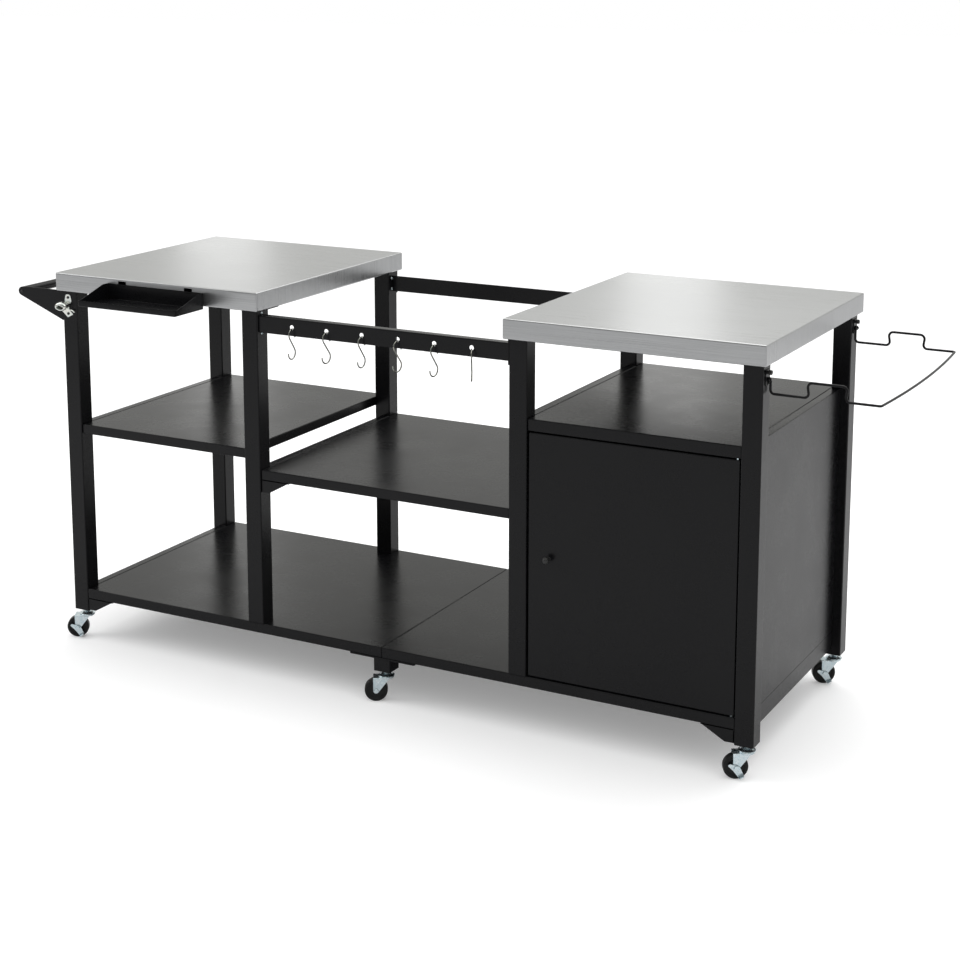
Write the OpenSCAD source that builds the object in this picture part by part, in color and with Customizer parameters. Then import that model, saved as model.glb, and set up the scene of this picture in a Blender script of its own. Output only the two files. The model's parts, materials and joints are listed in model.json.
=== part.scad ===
// Grill cart: two steel tabletops bridged by a lower middle bay, on six swivelling casters.
// Lengths are in millimetres: x runs along the cart, y from its front to its back, z upwards.

/* [Tabletops] */
// Width of each tabletop, along the cart
top_w = 550; // [520:5:600]
// Depth of the tabletops, front to back
top_d = 612; // [580:4:680]
// Height of the working surface above the floor
top_z = 868; // [850:2:920]
// Clear distance between the two tabletops
bridge = 588; // [560:4:660]
// Height of the folded edge round a tabletop
top_edge = 42; // [38:1:50]
// Sheet thickness of a tabletop
top_sheet = 1.2; // [0.8:0.1:1.6]
// Width of the lip that turns in under the edge
top_lip = 10; // [7:1:14]
// Outside radius of the folds
top_fold = 2; // [1.5:0.5:3]
// Width of a stiffening channel inside a tabletop
stiffener_w = 50; // [30:5:80]

/* [Legs] */
// Side of the square leg tube
leg = 40; // [36:1:44]
// Wall of the leg tube
leg_wall = 1.5; // [1.2:0.1:2.5]
// Outside corner radius of the leg tube
leg_r = 2.5; // [2:0.25:4]
// Distance from a tabletop's end to the leg
leg_in_x = 9; // [6:1:16]
// Distance from a tabletop's front edge to the leg
leg_in_y = 12; // [8:1:18]
// Thickness of the plate on each leg that carries the tabletop
cap_t = 4; // [3:0.5:6]
// How far that plate reaches past the leg
cap_reach = 45; // [30:1:60]

/* [Shelves] */
// Sheet thickness of shelves, panels and door
sheet = 1.2; // [1:0.1:2]
// Height of the base's surface
base_z = 124; // [120:1:135]
// Height of the base's skirt
base_skirt = 23; // [20:1:26]
// Set-back of the base's skirt from the leg's face
base_set = 0.5; // [0.5:0.5:3]
// Height of the left shelf's surface
left_z = 517; // [480:1:560]
// Height of the middle shelf's surface
middle_z = 474; // [430:1:500]
// Height of a shelf's skirt
shelf_skirt = 22; // [18:1:28]
// Set-back of a shelf's skirt from the leg's face
shelf_set = 4; // [2:0.5:8]
// Set-back of the middle shelf's rear skirt
middle_back_set = 8; // [4:0.5:14]
// Gap at the middle shelf's right end
middle_end_gap = 0.9; // [0.5:0.1:1.5]
// Width of the lip that turns in under a skirt
skirt_lip = 14; // [12:1:18]
// Width of the tube rails between front and back legs
side_rail_w = 20; // [16:1:24]
// Height of the rails beside the shelves
side_rail_h = 20; // [16:1:24]
// Height of the rails beside the base
base_rail_h = 40; // [30:1:44]
// Wall of the side rails
side_rail_wall = 1.5; // [1.2:0.1:2]

/* [Corner brackets] */
// Length of a bracket along the skirt
gusset_w = 70; // [50:1:90]
// Width of its lower edge
gusset_foot = 20; // [12:1:30]
// Height of a bracket below the skirt
gusset_h = 28; // [20:1:29]
// Plate thickness of a bracket
gusset_t = 2; // [1.5:0.5:3]
// How far its flanges reach behind the web
gusset_flange = 26; // [15:1:30]

/* [Rails of the middle bay] */
// Height of the front rail's face, and of the back rail
rail_h = 37; // [34:1:44]
// Distance from the leg's top down to the rails
rail_drop = 6; // [6:0.5:10]
// Sheet thickness of the rails
rail_t = 1.5; // [1:0.1:2]
// Depth of the front rail's upper flange
rail_flange = 18; // [12:1:24]
// Thickness of the rails' end plates
end_t = 2; // [1.5:0.5:3]
// Height of an end plate below the rail
end_low = 7.5; // [6.5:0.5:12]
// Distance of the back rail behind the leg's face
back_rail_in = 17; // [15:1:24]
// Number of hanging holes
hook_count = 6; // [6:1:6]
// Radius of a hanging hole
hole_r = 5; // [4:0.5:6]

/* [Hooks] */
// Wire radius of a hook
hook_wire = 1.5; // [1:0.25:2]
// Radius of a hook's upper bend, at the wire's centre
hook_top_r = 12; // [11:0.5:14]
// Radius of a hook's lower bend, at the wire's centre
hook_low_r = 13; // [11:0.5:15]
// Height between the centres of the two bends
hook_drop = 40; // [34:1:50]
// Offset of the lower bend's centre, towards the front
hook_shift = 3; // [0:0.5:6]
// Lean of a hook at rest, so that its weight hangs under the hole
hook_lean = 1.3; // [-12:0.1:12]

/* [Cabinet] */
// Height of the cabinet's upper shelf
cabinet_z = 666; // [630:1:700]
// Height of that shelf's skirt
cabinet_skirt = 25; // [22:1:30]
// Gap between the door and the legs
door_side_gap = 3; // [2.9:0.1:4]
// Gap above the door
door_top_gap = 3; // [2:0.5:5]
// Gap below the door
door_low_gap = 2; // [1.5:0.5:4]
// Depth of the folded door
door_d = 18; // [14:1:22]
// Distance of the hinge axis from the door's face and edge
hinge_in = 6; // [5.5:0.5:6]
// Radius of the hinge pins
pin_r = 3; // [2.5:0.25:3.5]
// Distance of the knob from the door's free edge
knob_in = 46; // [35:1:60]
// Radius of the knob
knob_r = 7.5; // [6:0.5:10]
// Width of the folded returns on the panels
panel_return = 12; // [8:1:14]

/* [Push handle] */
// Distance of the bar's axis from the tabletop's end
handle_reach = 109; // [90:1:130]
// Distance of the bar's axis below the working surface
handle_drop = 54; // [50:1:60]
// Diameter of the bar
bar_d = 20; // [16:1:22]
// Wall of the bar
bar_wall = 2; // [1.5:0.5:3]
// Plate thickness of the handle brackets
handle_t = 2; // [1.5:0.5:3]
// Lower edge of a bracket, below the working surface
handle_low = 111; // [105:1:125]
// Radius of a bracket's tip
handle_tip = 10; // [8:0.5:12]
// Length of a bracket's straight upper edge beyond the tabletop's end
handle_flat = 81; // [60:1:82]
// Height of the upper bracket screw, below the working surface
handle_screw_drop = 57; // [54:1:62]
// Distance between the two bracket screws
handle_screw_step = 37; // [35:1:42]

/* [Bottle opener] */
// Plate thickness of the opener
opener_t = 1.5; // [1:0.25:2]
// Outside radius of the opener's hood
opener_r = 13; // [12:0.5:15]
// How far the hood stands out
opener_out = 16; // [12:1:20]

/* [Tray] */
// Width of the tray
tray_w = 262; // [220:2:300]
// Depth of the tray
tray_d = 102; // [80:1:120]
// Centre of the tray from the left tabletop's end
tray_x = 280; // [240:2:300]
// Height of the tray at the back
tray_h = 35.5; // [34:0.5:37]
// Height of the tray's front lip
tray_front_h = 13; // [8:1:20]
// Distance of the tray's back edge below the working surface
tray_drop = 12.5; // [12:0.5:13.5]
// Sheet thickness of the tray
tray_t = 1.5; // [1:0.1:2]
// Distance between the tray's two hook tabs
tab_step = 180; // [140:2:200]
// Width of a hook tab
tab_w = 20; // [14:1:26]
// Height of a tab's turned-down end
tab_hook = 6; // [4:0.5:6.5]

/* [Bag hoop] */
// Wire radius of the hoop
hoop_wire = 2.5; // [2:0.25:3]
// Reach of the hoop's arms beyond the leg's face
hoop_reach = 216.5; // [190:0.5:240]
// Outward bow of the outer bar
hoop_bow = 11.5; // [4:0.5:16]
// Distance of each arm from the leg's centre line
hoop_arm_in = 8; // [6.5:0.5:10]
// Height of the pivot below the working surface
hoop_drop = 71; // [68:1:76]
// Height between the pivot and the arms
hoop_fall = 29; // [24:1:34]
// Distance from the pivot to the raised step
step_start = 71; // [60:1:80]
// Length of the raised step
step_len = 78; // [66:1:86]
// How far the step's sides lean in at the bottom
step_lean = 4.5; // [2:0.5:6]
// Thickness of the bracket plate and its ear
clip_t = 2; // [1.5:0.5:2.5]
// Width of the bracket plate
clip_w = 22; // [20:1:26]
// Height of the bracket plate
clip_h = 30; // [29:1:34]

/* [Casters] */
// Height from the floor to the end of a leg
caster_h = 70; // [68:1:74]
// Diameter of a wheel
wheel_d = 50; // [46:1:52]
// Width of a wheel
wheel_w = 20; // [16:1:22]
// Distance of the axle behind the swivel axis
trail = 22; // [18:1:24]
// Direction in which the casters trail, seen from above
trail_dir = 210; // [0:5:355]
// Clearance between a wheel and the crown of its fork
wheel_gap = 2; // [1:0.5:3]
// Radius of the domed bearing plate over the fork
race_r = 18; // [16:0.5:19]
// Radius of the stem in the leg
stem_r = 5; // [4:0.5:6]
// Radius of the axle
axle_r = 3; // [2.5:0.25:3.5]
// Plate thickness of the fork and the brake pedal
fork_t = 2; // [1.5:0.25:2.5]

/* [Fasteners and fits] */
// Radius of a bolt's shank
bolt_r = 2; // [1.5:0.1:2]
// Radius of a bolt's head
bolt_head_r = 3.2; // [3:0.1:3.4]
// Height of a bolt's head
bolt_head_h = 2.2; // [1.6:0.1:3]
// Length of a bolt's shank
bolt_len = 10; // [9:0.5:12]
// Radial clearance of a bolt in its hole
bolt_clear = 0.15; // [0.1:0.05:0.3]
// Gap between pieces that sit beside each other
fit = 0.3; // [0.2:0.05:0.5]
// Radial clearance of a turning fit
running = 0.06; // [0.03:0.01:0.1]

/* [Hidden] */

black_steel = "#1d1d1f";
stainless = "#c9cac8";
zinc = "#aab4ba";
nickel = "#c2c4c4";
black_plastic = "#141414";

round_fn = 32;
wheel_fn = 72;
bow_fn = 1440;
far = 20;

// Places along the cart
cart_w = 2 * top_w + bridge;
seam_x = cart_w / 2;
seam_gap = 0.5;
leg_x = [leg_in_x, top_w - leg_in_x - leg, top_w + bridge + leg_in_x, cart_w - leg_in_x - leg];
leg_y = [leg_in_y, top_d - leg_in_y - leg];
leg_mid_y = [leg_y[0] + leg / 2, leg_y[1] + leg / 2];
top_low = top_z - top_edge;
leg_top = top_low - cap_t;

// Places of the shelves between the legs
left_x0 = leg_x[0] + leg + fit;
left_x1 = leg_x[1] - fit;
middle_x0 = leg_x[1] + leg + fit;
middle_x1 = leg_x[2] - middle_end_gap;
right_x0 = leg_x[2] + leg + fit;
right_x1 = leg_x[3] - fit;
shelf_y0 = leg_y[0] + shelf_set;
shelf_y1 = leg_y[1] + leg - shelf_set;
base_y0 = leg_y[0] + base_set;
base_y1 = leg_y[1] + leg - base_set;

// The rails of the middle bay
rail_top = leg_top - rail_drop;
rail_low = rail_top - rail_h;
bay_x0 = leg_x[1] + leg;
bay_x1 = leg_x[2];
rail_bolt_gap = 0.5;
rail_bolt_rise = bolt_head_r + rail_bolt_gap;
rail_bolt_in = 14.7;
back_bolt_in = 12;
back_bolt_inset = 6;
hole_z = (rail_top + rail_low) / 2;
hook_pitch = (bay_x1 - bay_x0) / (hook_count + 1);
hook_yaw = [0, 9, 5, 12, 8, -27];

// The cabinet's door
door_x0 = leg_x[2] + leg + door_side_gap;
door_x1 = leg_x[3] - door_side_gap;
door_z0 = base_z + door_low_gap;
door_z1 = cabinet_z - cabinet_skirt - door_top_gap;
door_y = shelf_y0;
hinge_x = door_x1 - hinge_in;
hinge_y = door_y + hinge_in;
panel_mid = side_rail_w;

// The push handle
bar_x = -handle_reach;
bar_z = top_z - handle_drop;
handle_x = leg_x[0] + leg / 2 - 2;
handle_screw_z = [top_z - handle_screw_drop, top_z - handle_screw_drop - handle_screw_step];

// The tray and the slots that it hooks into
tray_z1 = top_z - tray_drop;
tray_z0 = tray_z1 - tray_h;
slot_h = 11;
slot_z0 = tray_z1 - 4;
tab_z = slot_z0 + fit;

// The bag hoop's pivot, on the right legs' outer faces
clip_x = leg_x[3] + leg;
clip_top = top_z - 52;
hoop_x = clip_x + clip_t + hoop_wire + fit;
hoop_z = top_z - hoop_drop;
arm_y = [leg_mid_y[0] + hoop_arm_in, leg_mid_y[1] - hoop_arm_in];
hoop_knob_z = clip_top - 5.5;
hoop_end = clip_x + hoop_reach;

// The casters: three along the front, then three along the back
caster_x = [leg_x[0] + leg / 2, seam_x, leg_x[3] + leg / 2];
caster_at = [for (y = leg_mid_y, x = caster_x) [x, y]];
wheel_r = wheel_d / 2;
race_h = 4.4;
crown_h = 4.2;
crown_low = wheel_d + wheel_gap;
race_low = crown_low + crown_h + fit;
crown_rear = trail + 6.5;
cheek_in = wheel_w / 2 + 1.2;
plug_h = 26;
stem_h = 22;

// The part's origin is the middle of its footprint, on the floor
x_low = bar_x - handle_tip;
x_high = hoop_end + hoop_bow + hoop_wire;
y_low = -tray_d;
origin = [(x_low + x_high) / 2, (y_low + top_d) / 2, 0];

// Directions in which a bolt's head faces
faces_right = [0, 90, 0];
faces_left = [0, -90, 0];
faces_down = [180, 0, 0];
faces_front = [90, 0, 0];
faces_back = [-90, 0, 0];

// Bolt places: each has a point on the surface under the head, and the way the head faces
front_rail_bolts = [
    for (z = [rail_top + rail_bolt_rise, rail_low - rail_bolt_rise])
        each [[[bay_x0 + end_t, leg_y[0] + rail_bolt_in, z], faces_right],
              [[bay_x1 - end_t, leg_y[0] + rail_bolt_in, z], faces_left]]];
back_rail_bolts = [
    for (z = [rail_top - back_bolt_inset, rail_low + back_bolt_inset])
        each [[[bay_x0 + end_t, leg_y[1] + back_bolt_in, z], faces_right],
              [[bay_x1 - end_t, leg_y[1] + back_bolt_in, z], faces_left]]];
function end_bolts(x0, x1, z) = [
    for (y = leg_mid_y)
        each [[[x0 + sheet, y, z], faces_right], [[x1 - sheet, y, z], faces_left]]];
left_bolts = end_bolts(left_x0, left_x1, left_z - shelf_skirt / 2);
middle_bolts = end_bolts(middle_x0, middle_x1, middle_z - shelf_skirt / 2);
cabinet_bolts = end_bolts(right_x0, right_x1, cabinet_z - cabinet_skirt / 2);
base_bolt_z = base_z - base_skirt / 2;
base_bolts = end_bolts(left_x0, right_x1, base_bolt_z);
seam_bolts = [for (y = [top_d * 0.35, top_d * 0.65])
    [[seam_x - seam_gap / 2 - sheet, y, base_bolt_z], faces_left]];
splice_t = 3.5;
splice_w = 160;
splice_z = base_z - base_skirt - splice_t;
splice_bolt_x = [-72, -42, 42, 72];
splice_bolts = [for (y = [leg_y[0] + leg * 0.3, leg_y[1] + leg * 0.7], x = splice_bolt_x)
    [[seam_x + x, y, splice_z], faces_down]];
cap_bolt_in = 28;
cap_bolts = [for (x = leg_x)
    each [[[x + leg / 2, leg_y[0] + leg + cap_bolt_in, leg_top], faces_down],
          [[x + leg / 2, leg_y[1] - cap_bolt_in, leg_top], faces_down]]];
front_handle_bolts = [for (z = handle_screw_z)
    [[handle_x, leg_y[0] - handle_t - opener_t, z], faces_front]];
back_handle_bolts = [for (z = handle_screw_z)
    [[handle_x, leg_y[1] + leg + handle_t, z], faces_back]];
bar_bolts = [
    [[bar_x, leg_y[0] - handle_t, bar_z], faces_front],
    [[bar_x, leg_y[1] + leg + handle_t, bar_z], faces_back]];
handle_bolts = concat(front_handle_bolts, back_handle_bolts, bar_bolts);
all_bolts = concat(front_rail_bolts, back_rail_bolts, left_bolts, middle_bolts, cabinet_bolts,
    base_bolts, seam_bolts, splice_bolts, cap_bolts, handle_bolts);

function unit(v) = v / norm(v);

// Where a line from p meets a circle, almost touching it, on the side given by 1 or -1
touch_inset = 0.15;
function touch(p, c, r, side) =
    let (d = c - p, q = r - touch_inset, a = atan2(d[1], d[0]) + side * asin(q / norm(d)))
    p + sqrt(d * d - q * q) * [cos(a), sin(a)];

// How much of each straight piece the bend at corner i takes
function trim(points, bends, i) =
    i == 0 || i == len(points) - 1 ? 0 :
    let (u = unit(points[i] - points[i - 1]), w = unit(points[i + 1] - points[i]))
    bends[i] * tan(acos(u * w) / 2);

module placed() {
    translate(-origin) children();
}

module rounded(w, d, r) {
    translate([r, 0])
        square([w - 2 * r, d]);
    translate([0, r])
        square([w, d - 2 * r]);
    for (x = [r, w - r], y = [r, d - r])
        translate([x, y])
            circle(r = r, $fn = round_fn);
}

module crowned(w, h, r) {
    square([w, h - r]);
    translate([r, 0])
        square([w - 2 * r, h]);
    for (x = [r, w - r])
        translate([x, h - r])
            circle(r = r, $fn = round_fn);
}

// A block whose upper and upright edges are rounded
module folded_block(w, d, h, r) {
    intersection() {
        linear_extrude(h)
            rounded(w, d, r);
        translate([0, d, 0])
            rotate([90, 0, 0])
                linear_extrude(d)
                    crowned(w, h, r);
    }
}

// Wires are drawn as rods and bends that stop just short of each other, with a collar over each joint
joint_gap = 0.25;
joint_half = 0.45;
joint_swell = 0.08;

// A straight wire from a to b
module rod(a, b, r) {
    d = b - a;
    translate(a)
        rotate([0, acos(d[2] / norm(d)), atan2(d[1], d[0])])
            cylinder(r = r, h = norm(d), $fn = round_fn);
}

// The collar at p, along direction d
module joint(p, d, r) {
    rod(p - d * joint_half, p + d * joint_half, r + joint_swell);
}

// The bend of a wire at corner c, between the corners before and after it
module bend(before, c, after, bend_r, r) {
    u = unit(c - before);
    w = unit(after - c);
    turn = acos(u * w);
    n = unit(w - (u * w) * u);
    reach = bend_r * tan(turn / 2);
    o = c - u * reach + n * bend_r;
    k = cross(-n, u);
    short = joint_gap / bend_r * 180 / PI;
    multmatrix([
        [-n[0], u[0], k[0], o[0]],
        [-n[1], u[1], k[1], o[1]],
        [-n[2], u[2], k[2], o[2]],
        [0, 0, 0, 1]])
        rotate([0, 0, short])
            rotate_extrude(angle = turn - 2 * short, $fn = bend_r > 100 ? bow_fn : wheel_fn)
                translate([bend_r, 0])
                    circle(r = r, $fn = round_fn);
    joint(c - u * reach, u, r);
    joint(c + w * reach, w, r);
}

// A wire along corners, each with its own bend radius
module wire(points, bends, r) {
    last = len(points) - 1;
    for (i = [0:last - 1]) {
        d = unit(points[i + 1] - points[i]);
        from = i == 0 ? 0 : trim(points, bends, i) + joint_gap;
        to = i == last - 1 ? 0 : trim(points, bends, i + 1) + joint_gap;
        rod(points[i] + d * from, points[i + 1] - d * to, r);
    }
    for (i = [1:last - 1])
        bend(points[i - 1], points[i], points[i + 1], bends[i], r);
}

// A wire bend in the plane across x: centre c, from angle a0 through sweep
module arc(c, bend_r, a0, sweep, r) {
    translate([0, c[0], c[1]])
        rotate([90, 0, 90])
            rotate([0, 0, a0])
                rotate_extrude(angle = sweep, $fn = wheel_fn)
                    translate([bend_r, 0])
                        circle(r = r, $fn = round_fn);
}

module bolt() {
    cylinder(r = bolt_head_r, h = bolt_head_h, $fn = round_fn);
    translate([0, 0, -bolt_len])
        cylinder(r = bolt_r, h = bolt_len + bolt_head_h / 2, $fn = round_fn);
}

module bolt_holes(list) {
    for (b = list)
        translate(b[0])
            rotate(b[1])
                translate([0, 0, -bolt_len - 1])
                    cylinder(r = bolt_r + bolt_clear, h = bolt_len + 2, $fn = round_fn);
}

// A square tube that stands upright
module upright(w, d, h, wall, r) {
    difference() {
        linear_extrude(h)
            rounded(w, d, r);
        translate([wall, wall, -1])
            cube([w - 2 * wall, d - 2 * wall, h + 2]);
    }
}

// A folded sheet tray that lies upside down: surface, skirts and lips
module pan(x0, x1, y0, y1, top, skirt) {
    difference() {
        translate([x0, y0, top - skirt])
            cube([x1 - x0, y1 - y0, skirt]);
        translate([x0 + sheet, y0 + sheet, top - skirt + sheet])
            cube([x1 - x0 - 2 * sheet, y1 - y0 - 2 * sheet, skirt - 2 * sheet]);
        translate([x0 + skirt_lip, y0 + skirt_lip, top - skirt - 1])
            cube([x1 - x0 - 2 * skirt_lip, y1 - y0 - 2 * skirt_lip, sheet + 2]);
    }
}

module top_shell(x0) {
    difference() {
        translate([x0, 0, top_low])
            folded_block(top_w, top_d, top_edge, top_fold);
        translate([x0 + top_sheet, top_sheet, top_low + top_sheet])
            cube([top_w - 2 * top_sheet, top_d - 2 * top_sheet, top_edge - 2 * top_sheet]);
        translate([x0 + top_lip, top_lip, top_low - 1])
            cube([top_w - 2 * top_lip, top_d - 2 * top_lip, top_sheet + 2]);
    }
}

module top_left() {
    color(stainless)
        placed()
            difference() {
                top_shell(0);
                for (s = [-1, 1])
                    translate([tray_x + s * tab_step / 2 - tab_w / 2 - 1, -1, slot_z0])
                        cube([tab_w + 2, top_sheet + 2, slot_h]);
            }
}

module top_right() {
    color(stainless)
        placed()
            top_shell(top_w + bridge);
}

// A panel that closes a tabletop from below and steps up over its lips
module under_pan(x0) {
    inner = top_lip + fit;
    outer = top_sheet + fit;
    step = top_sheet + fit;
    difference() {
        union() {
            translate([x0 + inner, inner, top_low])
                cube([top_w - 2 * inner, top_d - 2 * inner, step + sheet]);
            translate([x0 + outer, outer, top_low + step])
                cube([top_w - 2 * outer, top_d - 2 * outer, sheet]);
        }
        translate([x0 + inner + sheet, inner + sheet, top_low + sheet])
            cube([top_w - 2 * (inner + sheet), top_d - 2 * (inner + sheet), far]);
        bolt_holes([for (b = cap_bolts) if (b[0][0] > x0 && b[0][0] < x0 + top_w) b]);
    }
}

module stiffener(x0, y) {
    in = top_lip + leg;
    h = top_edge - top_sheet - sheet;
    difference() {
        translate([x0 + in, y - stiffener_w / 2, top_low + sheet])
            cube([top_w - 2 * in, stiffener_w, h]);
        translate([x0 + in - 1, y - stiffener_w / 2 + sheet, top_low])
            cube([top_w - 2 * in + 2, stiffener_w - 2 * sheet, h]);
    }
}

module under_pans() {
    color(black_steel)
        placed()
            for (x0 = [0, top_w + bridge]) {
                under_pan(x0);
                for (y = [top_d / 3, top_d * 2 / 3])
                    stiffener(x0, y);
            }
}

// The plates on the legs that carry the tabletops
module top_plates() {
    color(black_steel)
        placed()
            difference() {
                for (x = leg_x, y = [leg_y[0], leg_y[1] - cap_reach])
                    translate([x, y, leg_top])
                        linear_extrude(cap_t)
                            rounded(leg, leg + cap_reach, leg_r);
                bolt_holes(cap_bolts);
            }
}

module leg_tube(col, row, foot) {
    x = leg_x[col];
    y = leg_y[row];
    color(black_steel)
        placed()
            difference() {
                translate([x, y, foot])
                    upright(leg, leg, leg_top - foot, leg_wall, leg_r);
                bolt_holes([for (b = all_bolts)
                    if (abs(b[0][0] - x - leg / 2) < leg && abs(b[0][1] - y - leg / 2) < leg
                        && b[0][2] > foot && b[0][2] < leg_top) b]);
                if (col == 3)
                    knob_holes();
            }
}

module leg_left_front() { leg_tube(0, 0, caster_h); }
module leg_left_back() { leg_tube(0, 1, caster_h); }
module leg_inner_left_front() { leg_tube(1, 0, base_z); }
module leg_inner_left_back() { leg_tube(1, 1, base_z); }
module leg_inner_right_front() { leg_tube(2, 0, base_z); }
module leg_inner_right_back() { leg_tube(2, 1, base_z); }
module leg_right_front() { leg_tube(3, 0, caster_h); }
module leg_right_back() { leg_tube(3, 1, caster_h); }

module stub_legs() {
    color(black_steel)
        placed()
            for (y = leg_y)
                translate([seam_x - leg / 2, y, caster_h])
                    upright(leg, leg, splice_z - caster_h, leg_wall, leg_r);
}

// One tube rail between a front and a back leg
module side_rail(x, w, top, h) {
    length = leg_y[1] - leg_y[0] - leg;
    difference() {
        translate([x, leg_y[0] + leg, top - h])
            cube([w, length, h]);
        translate([x + side_rail_wall, leg_y[0] + leg - 1, top - h + side_rail_wall])
            cube([w - 2 * side_rail_wall, length + 2, h - 2 * side_rail_wall]);
    }
}

module side_rails() {
    color(black_steel)
        placed() {
            side_rail(leg_x[0] + leg - side_rail_w, side_rail_w, base_z, base_rail_h);
            side_rail(leg_x[0] + leg - side_rail_w, side_rail_w, left_z, side_rail_h);
            side_rail(leg_x[1] + leg - side_rail_w, side_rail_w, middle_z, side_rail_h);
            side_rail(leg_x[2] + leg - side_rail_w + sheet, side_rail_w - sheet, cabinet_z, side_rail_h);
            side_rail(leg_x[3], side_rail_w - sheet, cabinet_z, side_rail_h);
            side_rail(leg_x[3], side_rail_w, base_z, base_rail_h);
        }
}

module base_left() {
    color(black_steel)
        placed()
            difference() {
                pan(left_x0, seam_x - seam_gap / 2, base_y0, base_y1, base_z, base_skirt);
                bolt_holes(concat(base_bolts, seam_bolts, splice_bolts));
            }
}

module base_right() {
    color(black_steel)
        placed()
            difference() {
                pan(seam_x + seam_gap / 2, right_x1, base_y0, base_y1, base_z, base_skirt);
                bolt_holes(concat(base_bolts, seam_bolts, splice_bolts));
                translate([hinge_x, hinge_y, base_z - far / 2])
                    cylinder(r = pin_r, h = far, $fn = round_fn);
            }
}

module shelf_left() {
    color(black_steel)
        placed()
            difference() {
                pan(left_x0, left_x1, shelf_y0, shelf_y1, left_z, shelf_skirt);
                bolt_holes(left_bolts);
            }
}

module shelf_middle() {
    color(black_steel)
        placed()
            difference() {
                pan(middle_x0, middle_x1, shelf_y0, leg_y[1] + leg - middle_back_set, middle_z, shelf_skirt);
                bolt_holes(middle_bolts);
            }
}

module cabinet_top() {
    color(black_steel)
        placed()
            difference() {
                pan(right_x0, right_x1, shelf_y0, shelf_y1, cabinet_z, cabinet_skirt);
                bolt_holes(cabinet_bolts);
                translate([hinge_x, hinge_y, cabinet_z - cabinet_skirt - 1])
                    cylinder(r = pin_r, h = sheet + 2, $fn = round_fn);
            }
}

// The plates that join the two halves of the base over the middle casters
module splice_plates() {
    color(black_steel)
        placed()
            difference() {
                for (y = leg_y)
                    translate([seam_x - splice_w / 2, y, splice_z])
                        linear_extrude(splice_t)
                            rounded(splice_w, leg, leg_r);
                bolt_holes(splice_bolts);
            }
}

// One corner bracket at the front, to the right of a leg: web, leg flange and upper flange
module corner_bracket(h) {
    translate([0, gusset_t, 0])
        rotate([90, 0, 0])
            linear_extrude(gusset_t)
                polygon([[0, 0], [gusset_w, 0], [gusset_foot, -h], [0, -h]]);
    translate([0, 0, -h])
        cube([gusset_t, gusset_flange, h]);
    translate([0, 0, -gusset_t])
        cube([gusset_w, gusset_flange / 2, gusset_t]);
}

module corner_brackets() {
    z = base_z - base_skirt;
    web_y = base_y0 + 0.4;
    color(black_steel)
        placed() {
            for (m = [0, 1])
                translate([0, m * top_d, 0])
                    mirror([0, m, 0]) {
                        translate([left_x0, web_y, z])
                            corner_bracket(gusset_h);
                        translate([right_x1, web_y, z])
                            mirror([1, 0, 0])
                                corner_bracket(gusset_h);
                    }
            translate([middle_x0, shelf_y0 + 0.4, middle_z - shelf_skirt])
                corner_bracket(gusset_h);
            translate([middle_x0, top_d - leg_in_y - middle_back_set - 0.4, middle_z - shelf_skirt])
                mirror([0, 1, 0])
                    corner_bracket(gusset_h);
        }
}

// The end plates that bolt a rail to the inner legs
module end_plates(y) {
    for (x = [bay_x0, bay_x1 - end_t])
        translate([x, y, rail_low - end_low])
            cube([end_t, leg, top_low - rail_low + end_low]);
}

module hook_rail() {
    y = leg_y[0] + shelf_set;
    color(black_steel)
        placed()
            difference() {
                union() {
                    end_plates(leg_y[0]);
                    translate([bay_x0, y, rail_low])
                        cube([bay_x1 - bay_x0, rail_t, rail_h]);
                    translate([bay_x0, y, rail_top - rail_t])
                        cube([bay_x1 - bay_x0, rail_flange, rail_t]);
                }
                bolt_holes(front_rail_bolts);
                for (i = [1:hook_count])
                    translate([bay_x0 + i * hook_pitch, y - 1, hole_z])
                        rotate([-90, 0, 0])
                            cylinder(r = hole_r, h = rail_t + 2, $fn = round_fn);
            }
}

module back_rail() {
    color(black_steel)
        placed()
            difference() {
                union() {
                    end_plates(leg_y[1]);
                    translate([bay_x0, leg_y[1] + back_rail_in, rail_low])
                        cube([bay_x1 - bay_x0, end_t, rail_h]);
                }
                bolt_holes(back_rail_bolts);
            }
}

// A side panel in the middle of the legs' depth, with returns that face the cabinet's inside
module side_panel(x, inward) {
    y0 = leg_y[0] + leg + fit;
    y1 = leg_y[1] - fit;
    z0 = base_z + fit;
    return_x = inward > 0 ? x : x + sheet - panel_return;
    translate([x, y0, z0])
        cube([sheet, y1 - y0, cabinet_z - z0]);
    for (y = [y0, y1 - sheet])
        translate([return_x, y, z0])
            cube([panel_return, sheet, cabinet_z - side_rail_h - fit - z0]);
}

module cabinet_panels() {
    back_y = shelf_y1 - sheet;
    z0 = base_z + fit;
    h = cabinet_z - cabinet_skirt - fit - z0;
    color(black_steel)
        placed() {
            side_panel(leg_x[2] + leg - side_rail_w, 1);
            side_panel(leg_x[3] + side_rail_w - sheet, -1);
            translate([right_x0, back_y, z0])
                cube([right_x1 - right_x0, sheet, h]);
            for (x = [right_x0, right_x1 - sheet])
                translate([x, back_y + sheet - panel_return, z0])
                    cube([sheet, panel_return, h]);
        }
}

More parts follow.
